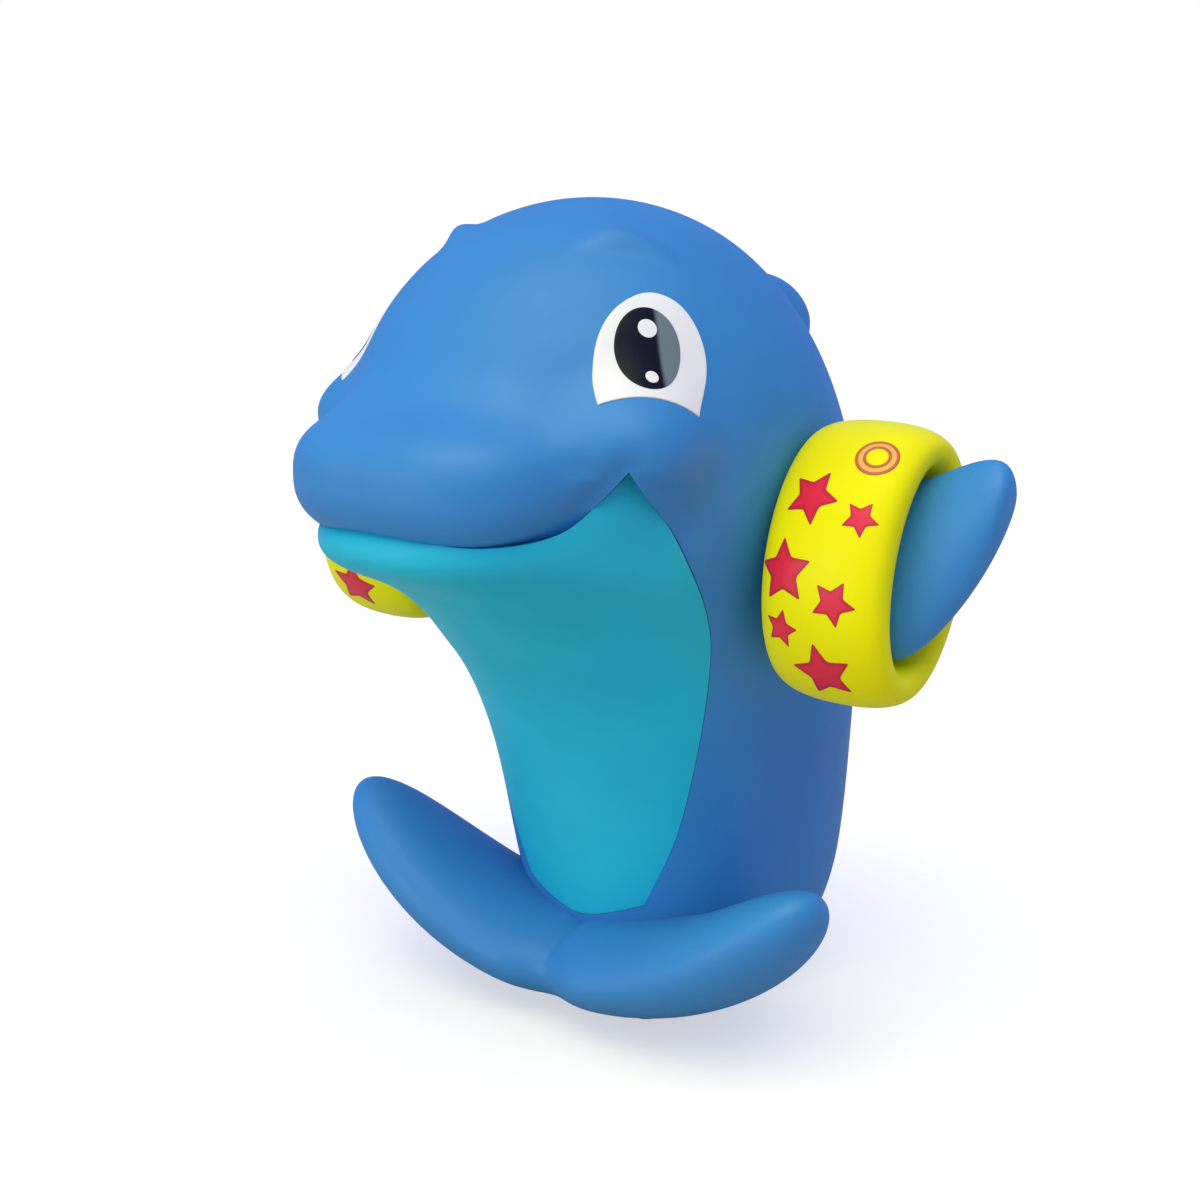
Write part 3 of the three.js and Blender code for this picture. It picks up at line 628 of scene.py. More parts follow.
def give_material(piece, material):
    """Puts one material on the whole of a piece."""
    piece.data.materials.clear()
    piece.data.materials.append(material)


def dress(piece, material, body, slot, *nodes):
    """Gives a piece its material, hangs it on the body it rides on, and hides the nodes it stands for."""
    give_material(piece, material)
    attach(piece, body)
    if nodes:
        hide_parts(*nodes)


def dress_pair(left, material, body, slot, node=None):
    """Dresses a left piece and its mirrored copy. A {} in the body's name stands for the side."""
    for piece, side in ((left, "left"), (mirrored_copy(left), "right")):
        nodes = (f"{node}_{side}",) if node else ()
        dress(piece, material, body.format(side), slot, *nodes)


# Materials


def set_inputs(tree, node, inputs):
    """Sets a node's inputs to values, or links them to other nodes."""
    for name, value in dict(inputs).items():
        if isinstance(value, bpy.types.NodeSocket):
            tree.links.new(value, node.inputs[name])
        else:
            node.inputs[name].default_value = value


def add_node(tree, kind, inputs=(), **settings):
    """Adds a node with its settings, and sets or links its inputs."""
    node = tree.nodes.new(kind)
    for name, value in settings.items():
        setattr(node, name, value)
    set_inputs(tree, node, inputs)
    return node


def new_material(name):
    """A node material with only its shader and output."""
    material = bpy.data.materials.new(name)
    material.use_nodes = True
    tree = material.node_tree
    tree.nodes.clear()
    shader = add_node(tree, "ShaderNodeBsdfPrincipled")
    add_node(tree, "ShaderNodeOutputMaterial", {"Surface": shader.outputs[0]})
    return material, tree, shader


def tinted(colour, factor):
    """A colour made lighter or darker."""
    return [min(c * factor, 1) for c in colour[:3]] + [1]


def soft_vinyl(name, colour, grain, roughness, shine=0.3):
    """Soft PVC from a heated mould: satin, slightly cloudy colour, faint grain and shallow ripples."""
    material = bpy.data.materials.get(name)
    if material:
        return material
    material, tree, shader = new_material(name)
    place = add_node(tree, "ShaderNodeTexCoord").outputs["Object"]
    # The pigment is a little lighter or darker from place to place
    cloud = add_node(tree, "ShaderNodeTexNoise", {
        "Vector": place, "Scale": 1 / (VINYL_CLOUD * MM), "Detail": 2.0})
    tint = add_node(tree, "ShaderNodeValToRGB", {"Fac": cloud.outputs["Fac"]})
    for stop, position, factor in zip(tint.color_ramp.elements, NOISE_RANGE, VINYL_TINTS):
        stop.position = position
        stop.color = tinted(colour, factor)
    # Handling polishes it unevenly
    polish = add_node(tree, "ShaderNodeTexNoise", {
        "Vector": place, "Scale": 1 / (VINYL_POLISH * MM), "Detail": 3.0})
    satin = add_node(tree, "ShaderNodeMapRange", {
        "Value": polish.outputs["Fac"], "From Min": NOISE_RANGE[0], "From Max": NOISE_RANGE[1],
        "To Min": roughness - 0.04, "To Max": roughness + 0.04})
    # The thin wall ripples as it cools, and the mould leaves its grain, drawn coarser than it is
    ripple = add_node(tree, "ShaderNodeTexNoise", {
        "Vector": place, "Scale": 1 / (VINYL_RIPPLE * MM), "Detail": 1.0})
    rippled = add_node(tree, "ShaderNodeBump", {
        "Height": ripple.outputs["Fac"], "Distance": VINYL_RIPPLE_DEPTH * MM, "Strength": 0.25})
    fine = add_node(tree, "ShaderNodeTexNoise", {"Vector": place, "Scale": 1 / grain, "Detail": 2.0})
    grained = add_node(tree, "ShaderNodeBump", {
        "Height": fine.outputs["Fac"], "Distance": VINYL_GRAIN_DEPTH * MM, "Strength": 0.3,
        "Normal": rippled.outputs["Normal"]})
    set_inputs(tree, shader, {
        "Base Color": tint.outputs["Color"], "Roughness": satin.outputs["Result"],
        "Normal": grained.outputs["Normal"], "IOR": VINYL_IOR, "Specular IOR Level": shine})
    return material


def blue_vinyl(scene):
    """Blue soft PVC of the back, tail and flippers: satin, with wide soft highlights."""
    colour = scene.bathtoy_colours.blue
    grain = scene.bathtoy_form.grain
    return soft_vinyl("Soft PVC, rotocast blue", colour, grain, roughness=0.54, shine=0.42)


def printed_ink(name, colour):
    """Pad-printed ink: flat satin colour that pools darker along the edge of each mark."""
    material, tree, shader = new_material(name)
    rim = add_node(tree, "ShaderNodeAttribute", attribute_name="rim")
    place = add_node(tree, "ShaderNodeTexCoord").outputs["Object"]
    mottle = add_node(tree, "ShaderNodeTexNoise", {
        "Vector": place, "Scale": 1 / (INK_MOTTLE * MM), "Detail": 2.0})
    # The pooled edge wanders by a little either way
    wander = add_node(tree, "ShaderNodeMath", {0: mottle.outputs["Fac"], 1: 0.12, 2: -0.06},
                      operation="MULTIPLY_ADD")
    mark = add_node(tree, "ShaderNodeMath", {0: rim.outputs["Fac"], 1: wander.outputs[0]}, operation="ADD")
    pool = add_node(tree, "ShaderNodeValToRGB", {"Fac": mark.outputs[0]})
    for stop, position, factor in zip(pool.color_ramp.elements, INK_POOL, (1, 0.72)):
        stop.position = position
        stop.color = tinted(colour, factor)
    set_inputs(tree, shader, {"Base Color": pool.outputs["Color"], "Roughness": 0.4, "IOR": INK_IOR})
    return material


def pupil_ink(name, dark, sheen):
    """Gloss ink: black, with a grey side where the print fades as if lit."""
    material, tree, shader = new_material(name)
    centre, across, up, _ = eye_frame()
    lean = across * math.cos(SHEEN_LEAN) + up * math.sin(SHEEN_LEAN)
    place = add_node(tree, "ShaderNodeTexCoord").outputs["Object"]
    axes = add_node(tree, "ShaderNodeSeparateXYZ", {"Vector": place})
    # Both eyes read the left one's place, because x is folded over
    folded = add_node(tree, "ShaderNodeMath", {0: axes.outputs["X"]}, operation="ABSOLUTE")
    here = add_node(tree, "ShaderNodeCombineXYZ", {
        "X": folded.outputs[0], "Y": axes.outputs["Y"], "Z": axes.outputs["Z"]})
    offset = add_node(tree, "ShaderNodeVectorMath", {
        0: here.outputs[0], 1: tuple(centre * MM)}, operation="SUBTRACT")
    side = add_node(tree, "ShaderNodeVectorMath", {
        0: offset.outputs[0], 1: tuple(lean / MM)}, operation="DOT_PRODUCT")
    fade = add_node(tree, "ShaderNodeMapRange", {
        "Value": side.outputs["Value"], "From Min": SHEEN_EDGE[0], "From Max": SHEEN_EDGE[1]},
        interpolation_type="SMOOTHSTEP")
    ink = add_node(tree, "ShaderNodeMix", {
        "Factor": fade.outputs["Result"], "A": dark, "B": sheen}, data_type="RGBA")
    set_inputs(tree, shader, {
        "Base Color": ink.outputs["Result"], "Roughness": 0.3, "IOR": INK_IOR, "Specular IOR Level": 0.15})
    return material


def moulded_nylon(name):
    """Injection-moulded nylon: cream, even and slightly waxy, with drifts about 4 mm wide."""
    material, tree, shader = new_material(name)
    place = add_node(tree, "ShaderNodeTexCoord").outputs["Object"]
    cloud = add_node(tree, "ShaderNodeTexNoise", {"Vector": place, "Scale": 1 / (4 * MM), "Detail": 2.0})
    tint = add_node(tree, "ShaderNodeMix", {
        "Factor": cloud.outputs["Fac"], "A": linear("e2ddcf"), "B": linear("efebdf")}, data_type="RGBA")
    set_inputs(tree, shader, {"Base Color": tint.outputs["Result"], "Roughness": 0.5, "IOR": 1.53})
    return material


def zinc_plate(name):
    """Zinc-plated steel: bright grey metal with a crystalline spangle, drawn at 1.2 mm so that it shows."""
    material, tree, shader = new_material(name)
    place = add_node(tree, "ShaderNodeTexCoord").outputs["Object"]
    spangle = add_node(tree, "ShaderNodeTexVoronoi", {"Vector": place, "Scale": 1 / (1.2 * MM)})
    rough = add_node(tree, "ShaderNodeMapRange", {
        "Value": spangle.outputs["Distance"], "To Min": 0.28, "To Max": 0.42})
    set_inputs(tree, shader, {
        "Base Color": linear("c3c6ca"), "Roughness": rough.outputs["Result"], "Metallic": 1.0})
    return material


def studio_paper(name):
    """Matt white paper that takes the toy's shadow, lifted to near white where the camera sees it."""
    paper = bpy.data.materials.new(name)
    paper.use_nodes = True
    tree = paper.node_tree
    tree.nodes.clear()
    rays = add_node(tree, "ShaderNodeLightPath")
    matt = add_node(tree, "ShaderNodeBsdfDiffuse", {"Color": linear("f7f3dc")})
    bright = add_node(tree, "ShaderNodeMath", {0: rays.outputs["Is Camera Ray"], 1: PAPER_GLOW},
                      operation="MULTIPLY")
    lift = add_node(tree, "ShaderNodeEmission", {"Color": WHITE, "Strength": bright.outputs[0]})
    both = add_node(tree, "ShaderNodeMixShader", {0: PAPER_WHITE, 1: matt.outputs[0], 2: lift.outputs[0]})
    add_node(tree, "ShaderNodeOutputMaterial", {"Surface": both.outputs[0]})
    return paper


def studio_air(name):
    """Even cool light from all round, with a plain white background in the picture."""
    world = bpy.data.worlds.new(name)
    world.use_nodes = True
    tree = world.node_tree
    tree.nodes.clear()
    rays = add_node(tree, "ShaderNodeLightPath")
    seen = add_node(tree, "ShaderNodeMath", {
        0: rays.outputs["Is Camera Ray"], 1: rays.outputs["Is Transmission Ray"]}, operation="MAXIMUM")
    strength = add_node(tree, "ShaderNodeMapRange", {
        "Value": seen.outputs[0], "To Min": FILL_STRENGTH, "To Max": 1.0})
    tint = add_node(tree, "ShaderNodeMix", {
        "Factor": seen.outputs[0], "A": FILL_COLOUR, "B": WHITE}, data_type="RGBA")
    air = add_node(tree, "ShaderNodeBackground", {
        "Color": tint.outputs["Result"], "Strength": strength.outputs["Result"]})
    add_node(tree, "ShaderNodeOutputWorld", {"Surface": air.outputs[0]})
    return world


# Body


def body_rows():
    """Rings of the blue skin, from the middle of the base up over the head to the tip of the beak."""
    trunk, bend, beak = BODY_RINGS
    origins = []
    across = []
    for z in np.linspace(0, BEND_Z, trunk, endpoint=False):
        origins.append((0, lerp(HIP[0][1], CHEST[0][1], z / BEND_Z), z))
        across.append((0, 1, 0))
    for part in np.linspace(0, 1, bend, endpoint=False):
        angle = part * math.pi / 2
        reach = lerp(CHEST[0][1] - BEND_Y, BEAK[0][2] - BEND_Z, part)
        out = np.array((0, math.cos(angle), math.sin(angle)))
        origins.append(np.array((0, BEND_Y, BEND_Z)) + out * reach)
        across.append(out)
    root = np.array((0, BEND_Y, BEAK[0][2]), float)
    tip = skin_points(back_depth, root, (0, -1, 0))
    for part in np.sin(np.linspace(0, math.pi / 2, beak, endpoint=False)):
        origins.append(lerp(root, tip, part))
        across.append((0, 0, 1))
    angles = full_turn(BODY_ROUND)[None, :, None]
    across = np.array(across, float)[:, None, :]
    directions = np.cos(angles) * np.array((1, 0, 0)) + np.sin(angles) * across
    rows = skin_points(back_depth, np.array(origins, float)[:, None, :], directions)
    foot = np.array(origins[0], float)
    base = [lerp(foot, rows[0], part) for part in BASE_RINGS]
    rows[0] = lerp(rows[0], foot, BASE_EDGE)
    return np.concatenate([base, rows, np.broadcast_to(tip, (1,) + rows.shape[1:])])


def raise_brows(rows, height):
    """Lifts the two low brow swellings out of the head."""
    folded = mirrored_points(rows)
    along = np.array((math.cos(BROW_YAW), math.sin(BROW_YAW)))
    offset = folded[..., :2] - np.array(BROW_PLACE)
    length = (offset @ along) / BROW_HALF[0]
    width = (offset @ np.array((-along[1], along[0])) + BROW_BOW * length ** 2) / BROW_HALF[1]
    swell = np.maximum(1 - length ** 2, 0) ** 2 * np.maximum(1 - width ** 2, 0) ** 2
    swell = np.where(rows[..., 2] > HEAD[0][2], swell, 0)
    return rows + skin_normals(back_depth, rows) * (swell * height)[..., None]


def pressed(rows, line, width, strength):
    """How strongly each point is pressed in by a line near it, along both sides of the face."""
    away = np.linalg.norm(mirrored_points(rows)[..., None, :] - line, axis=-1)
    return np.max(strength * np.exp(-(away / width) ** 2), axis=-1)


def press_smile(rows, crease, roll):
    """Presses the smile's crease into both cheeks and rolls the upper lip in near the mouth's corners."""
    smile = evenly(spline(SMILE, 60), SMILE_SPACING)
    strength = np.sin(np.linspace(*SMILE_FADE, len(smile)) * math.pi)
    flat = evenly(spline(unrolled(PANEL_MOUTH), 60), UPPER_LIP_SPACING)
    mouth = skin_points(back_depth, *panel_rays(flat))
    near_corner = np.interp(flat[:, 0] / PANEL_RADIUS, UPPER_LIP_SPAN, (0, 1))
    creased = crease * pressed(rows, smile, SMILE_WIDTH, strength)
    rolled = roll * pressed(rows, mouth, UPPER_LIP_WIDTH, near_corner)
    return rows - skin_normals(back_depth, rows) * np.maximum(creased, rolled)[..., None]


def fin_point(part, turn):
    """A point of the dorsal fin: how far out towards the tip, and round its oval section."""
    top = bezier(FIN_LEADING + (FIN_TIP,), part)
    bottom = bezier(FIN_TRAILING + (FIN_TIP,), part)
    half = lerp(*FIN_THICKNESS, part) / 2 * np.sqrt(np.maximum(1 - part ** FIN_BLUNTNESS, 0))
    flat = (top + bottom) / 2 + (top - bottom) / 2 * np.sin(turn)[..., None]
    return np.concatenate([(half * np.cos(turn))[..., None], flat], -1)


def fin_rows():
    """Rings of the fin, from its tip down to a root that runs out smoothly into the back."""
    turn = full_turn(FIN_ROUND)

    def buried(part):
        return back_depth(fin_point(part, turn)) < 0

    # Where each line up the fin leaves the body
    parts = np.linspace(0, 1, 200)
    under = np.stack([buried(np.full(FIN_ROUND, part)) for part in parts])
    last = len(parts) - 1 - np.argmax(under[::-1], axis=0)
    root = halved(buried, parts[last], parts[np.minimum(last + 1, len(parts) - 1)], 30)
    crease = fin_point(root, turn)
    # Where the fillet starts on the fin, and where it lands on the back
    above = root.copy()
    for part in np.linspace(0, 1, 120):
        there = lerp(root, 1, part * 0.6)
        near = np.linalg.norm(fin_point(there, turn) - crease, axis=1) < FIN_FILLET
        above = np.where(near, there, above)
    start = fin_point(above, turn)
    normal = skin_normals(back_depth, crease)
    round_fin = np.roll(crease, -1, axis=0) - np.roll(crease, 1, axis=0)
    out = np.cross(round_fin, normal)
    out = out * np.sign(np.sum(out * (crease - crease.mean(axis=0)), axis=1, keepdims=True))
    out = out / np.linalg.norm(out, axis=1, keepdims=True)
    landing = onto_skin(back_depth, crease + out * FIN_FILLET)
    control = onto_skin(back_depth, crease)
    rows = [fin_point(lerp(above, 1, math.sin(t)), turn) for t in np.linspace(math.pi / 2, 0, FIN_RINGS)]
    rows += [arch(start, control, landing, t) for t in np.linspace(0, 1, FILLET_RINGS)[1:]]
    # The skirt dips under the skin and closes inside the body
    first, second, third = FIN_SKIRT_DROPS
    edge = onto_skin(back_depth, crease + out * (FIN_FILLET + FIN_SKIRT))
    outwards = skin_normals(back_depth, edge)
    rows.append(edge - outwards * first)
    rows.append(rows[-1] - outwards * second)
    rows.append(np.broadcast_to(rows[-1].mean(axis=0) - normal.mean(axis=0) * third, rows[-1].shape))
    return np.array(rows)


def unrolled(points):
    """Places given as an angle and a height, laid flat: arc length across and height up."""
    return np.array([(math.radians(angle) * PANEL_RADIUS, z) for angle, z in points])


def panel_rays(flat):
    """Where rays through flat points start on the panel's upright line, and their way out."""
    angle = flat[..., 0] / PANEL_RADIUS
    out = np.stack([np.sin(angle), -np.cos(angle), np.zeros_like(angle)], -1)
    origin = np.stack([np.zeros_like(angle), np.full_like(angle, PANEL_AXIS_Y), flat[..., 1]], -1)
    return origin, out


def on_belly(flat):
    """Points of the turquoise skin under flat points, and their way out from the panel's upright line."""
    origin, out = panel_rays(flat)
    return skin_points(belly_depth, origin, out), out


def panel_flat(u, v):
    """Points of the panel laid flat, u of the way across and v of the way up between its four edges."""
    other = np.array((-1, 1))
    side = spline(unrolled(PANEL_SIDE[1:]), 400)
    foot = unrolled(PANEL_SIDE[1::-1])
    foot = spline(np.concatenate([foot * other, foot[::-1]]), 300)
    mouth = unrolled(PANEL_MOUTH)
    mouth = spline(np.concatenate([mouth * other, mouth[::-1]]), 500)
    u, v = np.broadcast_arrays(u, v)
    low, high, right = along_chain(foot, u), along_chain(mouth, u), along_chain(side, v)
    u, v = u[..., None], v[..., None]
    edges = (1 - v) * low + v * high + (1 - u) * right * other + u * right
    corners = (1 - u) * ((1 - v) * foot[0] + v * mouth[0]) + u * ((1 - v) * foot[-1] + v * mouth[-1])
    return edges - corners


def panel_steps(count):
    """How far up the panel its rows lie, evenly spaced over the chest, the throat and the jaw."""
    v = np.linspace(0, 1, 1600)
    middle, _ = on_belly(panel_flat(np.full_like(v, 0.5), v))
    length = chain_length(middle)
    return np.interp(np.linspace(0, length[-1], count), length, v)


def bed_rows(gap):
    """Rings of the shape that cuts the panel's bed out of the blue skin."""
    v = panel_steps(BED_RINGS)[:, None]
    flat = panel_flat(np.linspace(0, 1, BED_ACROSS)[None], v)
    flat[:, 0, 0] -= gap
    flat[:, -1, 0] += gap
    flat[0, :, 1] -= gap
    flat[-1, :, 1] += gap
    skin, out = on_belly(flat)
    deep = lerp(*BED_DEPTH, np.clip((v - BED_MOUTH_START) / (1 - BED_MOUTH_START), 0, 1))
    return closed_rows(skin + out * BED_REACH, skin - out * deep[..., None])


def panel_rows(lip):
    """Rings of the belly panel from its foot to the lower lip, then along the ledge under the beak."""
    near = np.array(PANEL_ROLL) * lip
    rolled = lip - np.sqrt(lip ** 2 - (lip - near) ** 2)
    v = np.concatenate([near / PANEL_HEIGHT, panel_steps(PANEL_RINGS)[2:]])[:, None]
    width = 2 * panel_flat(np.ones_like(v), v)[..., 0]
    inner = np.linspace(0, 1, PANEL_ACROSS)[1:-1]
    first = near / width
    u = np.concatenate([first, lerp(first[:, -1:], 1 - first[:, -1:], inner), 1 - first[:, ::-1]], axis=1)
    drop = np.concatenate([rolled, np.zeros(len(inner)), rolled[::-1]])[None]
    drop = np.maximum(drop, np.concatenate([rolled, np.zeros(len(v) - len(near))])[:, None])
    skin, out = on_belly(panel_flat(u, v))
    normal = skin_normals(belly_depth, skin)
    front = skin - normal * drop[..., None]
    thicker = np.clip((v - LOWER_LIP_START) / (1 - LOWER_LIP_START), 0, 1)[..., None]
    back = skin - normal * PANEL_THICKNESS - thicker * (0, 0, LOWER_LIP_DEPTH)
    ledge = np.stack([front[-1] - out[-1] * reach for reach in LEDGE_REACH])
    under = ledge - (0, 0, LEDGE_THICKNESS)
    return closed_rows(np.concatenate([front, ledge]), np.concatenate([back, under]))


def plug_place():
    """The plug's place along y, its lowest point and its radius, in metres, from the frame."""
    low, high = (np.array(corner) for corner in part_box("base_plug"))
    return (low[1] + high[1]) / 2, low[2], (high[0] - low[0]) / 2


class BATHTOY_OT_body_skin(Operator):
    """Casts the blue skin with its brows and fin, and cuts the beds for the panel, pegs and plug"""

    bl_idname = "bathtoy.body_skin"
    bl_label = "Body Skin"

    def execute(self, context):
        form = context.scene.bathtoy_form
        rows = raise_brows(body_rows(), form.brow_height / MM)
        rows = press_smile(rows, form.smile_depth / MM, form.lip_roll / MM)
        skin = lattice("body_skin", rows)
        tools = [lattice("panel_bed", bed_rows(form.panel_gap / MM))]
        for side in (1, -1):
            tools.append(cylinder(
                64, (PEG_RADIUS + PEG_GAP) * MM, PEG_HOLE_DEPTH * MM,
                (side * PEG_HOLE_X * MM, SHOULDER[0] * MM, SHOULDER[1] * MM), (0, math.pi / 2, 0)))
        plug_y, _, plug_radius = plug_place()
        tools.append(cylinder(64, plug_radius + PEG_GAP * MM, PLUG_BED * MM, (0, plug_y, 0)))
        cut(skin, joined("skin_tools", tools))
        fin = lattice("dorsal_fin", fin_rows())
        skin = joined("body_skin", [skin, fin])
        bpy.ops.object.shade_smooth_by_angle(angle=SKIN_CREASE)
        dress(skin, blue_vinyl(context.scene), "body", "blue_vinyl", "body_shell")
        return {"FINISHED"}


class BATHTOY_OT_belly_panel(Operator):
    """Casts the turquoise lower jaw and belly with its rolled edge"""

    bl_idname = "bathtoy.belly_panel"
    bl_label = "Belly Panel"

    def execute(self, context):
        form = context.scene.bathtoy_form
        panel = lattice("belly_skin", panel_rows(form.panel_lip / MM))
        bpy.ops.object.shade_smooth_by_angle(angle=SKIN_CREASE)
        # As satin as the blue, but a little duller, so the belly reads as one soft colour
        colour = context.scene.bathtoy_colours.turquoise
        vinyl = soft_vinyl("Soft PVC, rotocast turquoise", colour, form.grain, roughness=0.54)
        dress(panel, vinyl, "body", "turquoise_vinyl", "belly_panel")
        return {"FINISHED"}


# Tail flukes


def fluke_ring(part, turn):
    """One ring of the tail, part of the way out to a tip, which is -1 on the right and 1 on the left."""
    far = abs(part)
    x = FLUKE_HALF_SPAN * part
    notch = FLUKE_NOTCH[0] * math.exp(-(x / FLUKE_NOTCH[1]) ** 2)
    taper = math.sqrt(max(1 - far ** FLUKE_TIP_POWER, 0))
    chord = max(lerp(*FLUKE_HALF_CHORD, far ** FLUKE_CHORD_POWER) * taper - notch, 0) if taper else 0
    thick = lerp(*FLUKE_HALF_THICKNESS, far) * taper
    slope = FLUKE_CURL * FLUKE_RISE * far ** (FLUKE_CURL - 1) / FLUKE_HALF_SPAN * np.sign(part)
    normal = np.array((-slope, 0, 1)) / math.hypot(slope, 1)
    back = np.array((0, 1, 0))
    twist = FLUKE_TWIST * far
    along = back * math.cos(twist) + normal * math.sin(twist)
    across = normal * math.cos(twist) - back * math.sin(twist)
    y = FLUKE_ROOT[0] - FLUKE_SWEEP * far ** FLUKE_SWEEP_POWER + notch
    centre = np.array((x, y, FLUKE_ROOT[1] + FLUKE_RISE * far ** FLUKE_CURL))
    ring = centre + np.outer(chord * np.cos(turn), along) + np.outer(thick * np.sin(turn), across)
    # The heel under the middle, then the soft fold above it, then the flat sole
    behind = np.clip((ring[:, 1] - FLUKE_ROOT[0]) / FLUKE_HEEL_RUN + 1, 0, 1)
    heel = FLUKE_HEEL[0] * math.exp(-(x / FLUKE_HEEL[1]) ** 4)
    ring[:, 2] -= heel * behind ** 2 * (3 - 2 * behind) * np.maximum(-np.sin(turn), 0)
    fold_depth, fold_half, fold_power = FLUKE_FOLD
    fold = fold_depth * max(1 - abs(x) / fold_half, 0) ** fold_power
    ring[:, 2] -= fold * np.maximum(np.sin(turn), 0)
    soft = np.maximum(FLUKE_SOLE_ROUND - np.abs(ring[:, 2]), 0) ** 2 / (4 * FLUKE_SOLE_ROUND)
    ring[:, 2] = np.maximum(ring[:, 2], 0) + soft
    return ring


def fluke_rows():
    """Rings of the tail from one tip to the other, crowded towards its middle and its tips."""
    spread = np.linspace(-1, 1, FLUKE_RINGS)
    parts = np.sin(np.sign(spread) * np.abs(spread) ** FLUKE_CROWDING * math.pi / 2)
    turn = full_turn(FLUKE_ROUND)
    return np.array([fluke_ring(part, turn) for part in parts])


class BATHTOY_OT_tail_flukes(Operator):
    """Casts the curled tail that the toy sits on"""

    bl_idname = "bathtoy.tail_flukes"
    bl_label = "Tail Flukes"

    def execute(self, context):
        tail = lattice("tail_skin", fluke_rows())
        dress(tail, blue_vinyl(context.scene), "body", "blue_vinyl", "tail_flukes")
        return {"FINISHED"}


# Flippers and armbands


def arm_span():
    """Where the armband begins and ends along the shoulder line, in millimetres."""
    low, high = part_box("armband_left")
    return low[0] / MM, high[0] / MM


def leaned(points):
    """Points turned about the shoulder line into the lean that armband and flipper rest in."""
    y, z = points[..., 1] - SHOULDER[0], points[..., 2] - SHOULDER[1]
    back = SHOULDER[0] + y * math.cos(REST_LEAN) - z * math.sin(REST_LEAN)
    up = SHOULDER[1] + y * math.sin(REST_LEAN) + z * math.cos(REST_LEAN)
    return np.stack([points[..., 0], back, up], -1)


def flipper_rows():
    """Rings of the left flipper: peg, arm through the armband, and blade."""
    inner, outer = arm_span()
    low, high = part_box("flipper_left")
    peg_end = low[0] / MM
    height = ARMBAND_BORE[1] - PEG_GAP
    half_depth = ARMBAND_BORE[0] - PEG_GAP
    root = outer - FLIPPER_FLARE
    length = high[0] / MM - root
    tip = (root + length, FLIPPER_TIP_HEIGHT)
    crest_start = (root + length * FLIPPER_CREST_START, height)
    belly_start = (root + length * FLIPPER_BELLY_START, -height)
    upper = ((root, height), crest_start, (tip[0], tip[1] + FLIPPER_CREST), tip)
    lower = ((root, -height), belly_start, (tip[0], tip[1] - FLIPPER_BELLY), tip)
    turn = full_turn(FLIPPER_ROUND)

    def section(top, bottom, thick):
        flat = (top + bottom) / 2 + np.outer(np.sin(turn), (top - bottom) / 2)
        y = SHOULDER[0] + thick * np.cos(turn)
        return leaned(np.stack([flat[:, 0], y, SHOULDER[1] + flat[:, 1]], -1))

    def oval(x, half_height, thick):
        return section(np.array((x, half_height)), np.array((x, -half_height)), thick)

    rows = [oval(peg_end, radius, radius) for radius in (0, PEG_RADIUS - PEG_CHAMFER)]
    rows += [oval(x, PEG_RADIUS, PEG_RADIUS) for x in (peg_end + PEG_CHAMFER, inner - ARM_NECK)]
    for x, shrink in [(inner + run, shrink) for run, shrink in ARM_START] + [(root, 0)]:
        rows.append(oval(x, height - shrink, half_depth - shrink))
    for part in np.sin(np.linspace(0, math.pi / 2, FLIPPER_RINGS))[1:]:
        taper = math.sqrt(max(1 - part ** FLIPPER_BLUNTNESS, 0))
        thick = lerp(half_depth, FLIPPER_TIP_THICKNESS / 2, part) * taper
        rows.append(section(bezier(upper, part), bezier(lower, part), thick))
    return np.array(rows)


class BATHTOY_OT_flippers(Operator):
    """Casts the flippers with the pegs that they turn on"""

    bl_idname = "bathtoy.flippers"
    bl_label = "Flippers"

    def execute(self, context):
        left = lattice("flipper_skin_left", flipper_rows())
        dress_pair(left, blue_vinyl(context.scene), "{}_flipper", "blue_vinyl", "flipper")
        return {"FINISHED"}


def puffed(value):
    """A cosine or sine that rounds a section out fuller than an oval."""
    return np.sign(value) * np.abs(value) ** ARMBAND_PUFF


def band_point(angle, turn):
    """A point of the left armband: round the ring, and round its puffed section."""
    inner, outer = arm_span()
    out = (1 + puffed(np.sin(turn))) / 2
    x = (inner + outer) / 2 + (outer - inner) / 2 * puffed(np.cos(turn))
    y = SHOULDER[0] + lerp(ARMBAND_BORE[0], ARMBAND_HALF[0], out) * np.cos(angle)
    z = SHOULDER[1] + lerp(ARMBAND_BORE[1], ARMBAND_HALF[1], out) * np.sin(angle)
    return leaned(np.stack(np.broadcast_arrays(x, y, z), -1))


def band_slope(angle, turn):
    """How the armband's surface runs on over two small turns round the ring."""
    return band_point(angle + SMALL_TURN, turn) - band_point(angle - SMALL_TURN, turn)


def band_normal(angle, turn):
    """Directions straight out of the armband."""
    across = band_point(angle, turn + SMALL_TURN) - band_point(angle, turn - SMALL_TURN)
    normal = np.cross(across, band_slope(angle, turn))
    return normal / np.linalg.norm(normal, axis=-1, keepdims=True)


def armband_rows():
    """Rings of the left armband's puffed section."""
    turns = full_turn(ARMBAND_ROUND)
    return np.stack([band_point(angle, turns) for angle in np.linspace(0, 2 * math.pi, ARMBAND_RINGS)])


def on_band(angle, across, flat, height):
    """Points over a flat mark on the armband, lifted by a height. Across is measured along the section."""
    turns = np.linspace(SECTION_EDGE, math.pi - SECTION_EDGE, SECTION_STEPS)
    length = chain_length(band_point(np.full(SECTION_STEPS, angle), turns))
    length = np.interp(math.pi / 2, turns, length) - length
    turn = np.interp(across + flat[..., 0], length[::-1], turns[::-1])
    middle = np.interp(across, length[::-1], turns[::-1])
    rate = np.linalg.norm(band_slope(angle, middle)) / (2 * SMALL_TURN)
    round_band = angle - flat[..., 1] / rate
    return band_point(round_band, turn) + band_normal(round_band, turn) * height


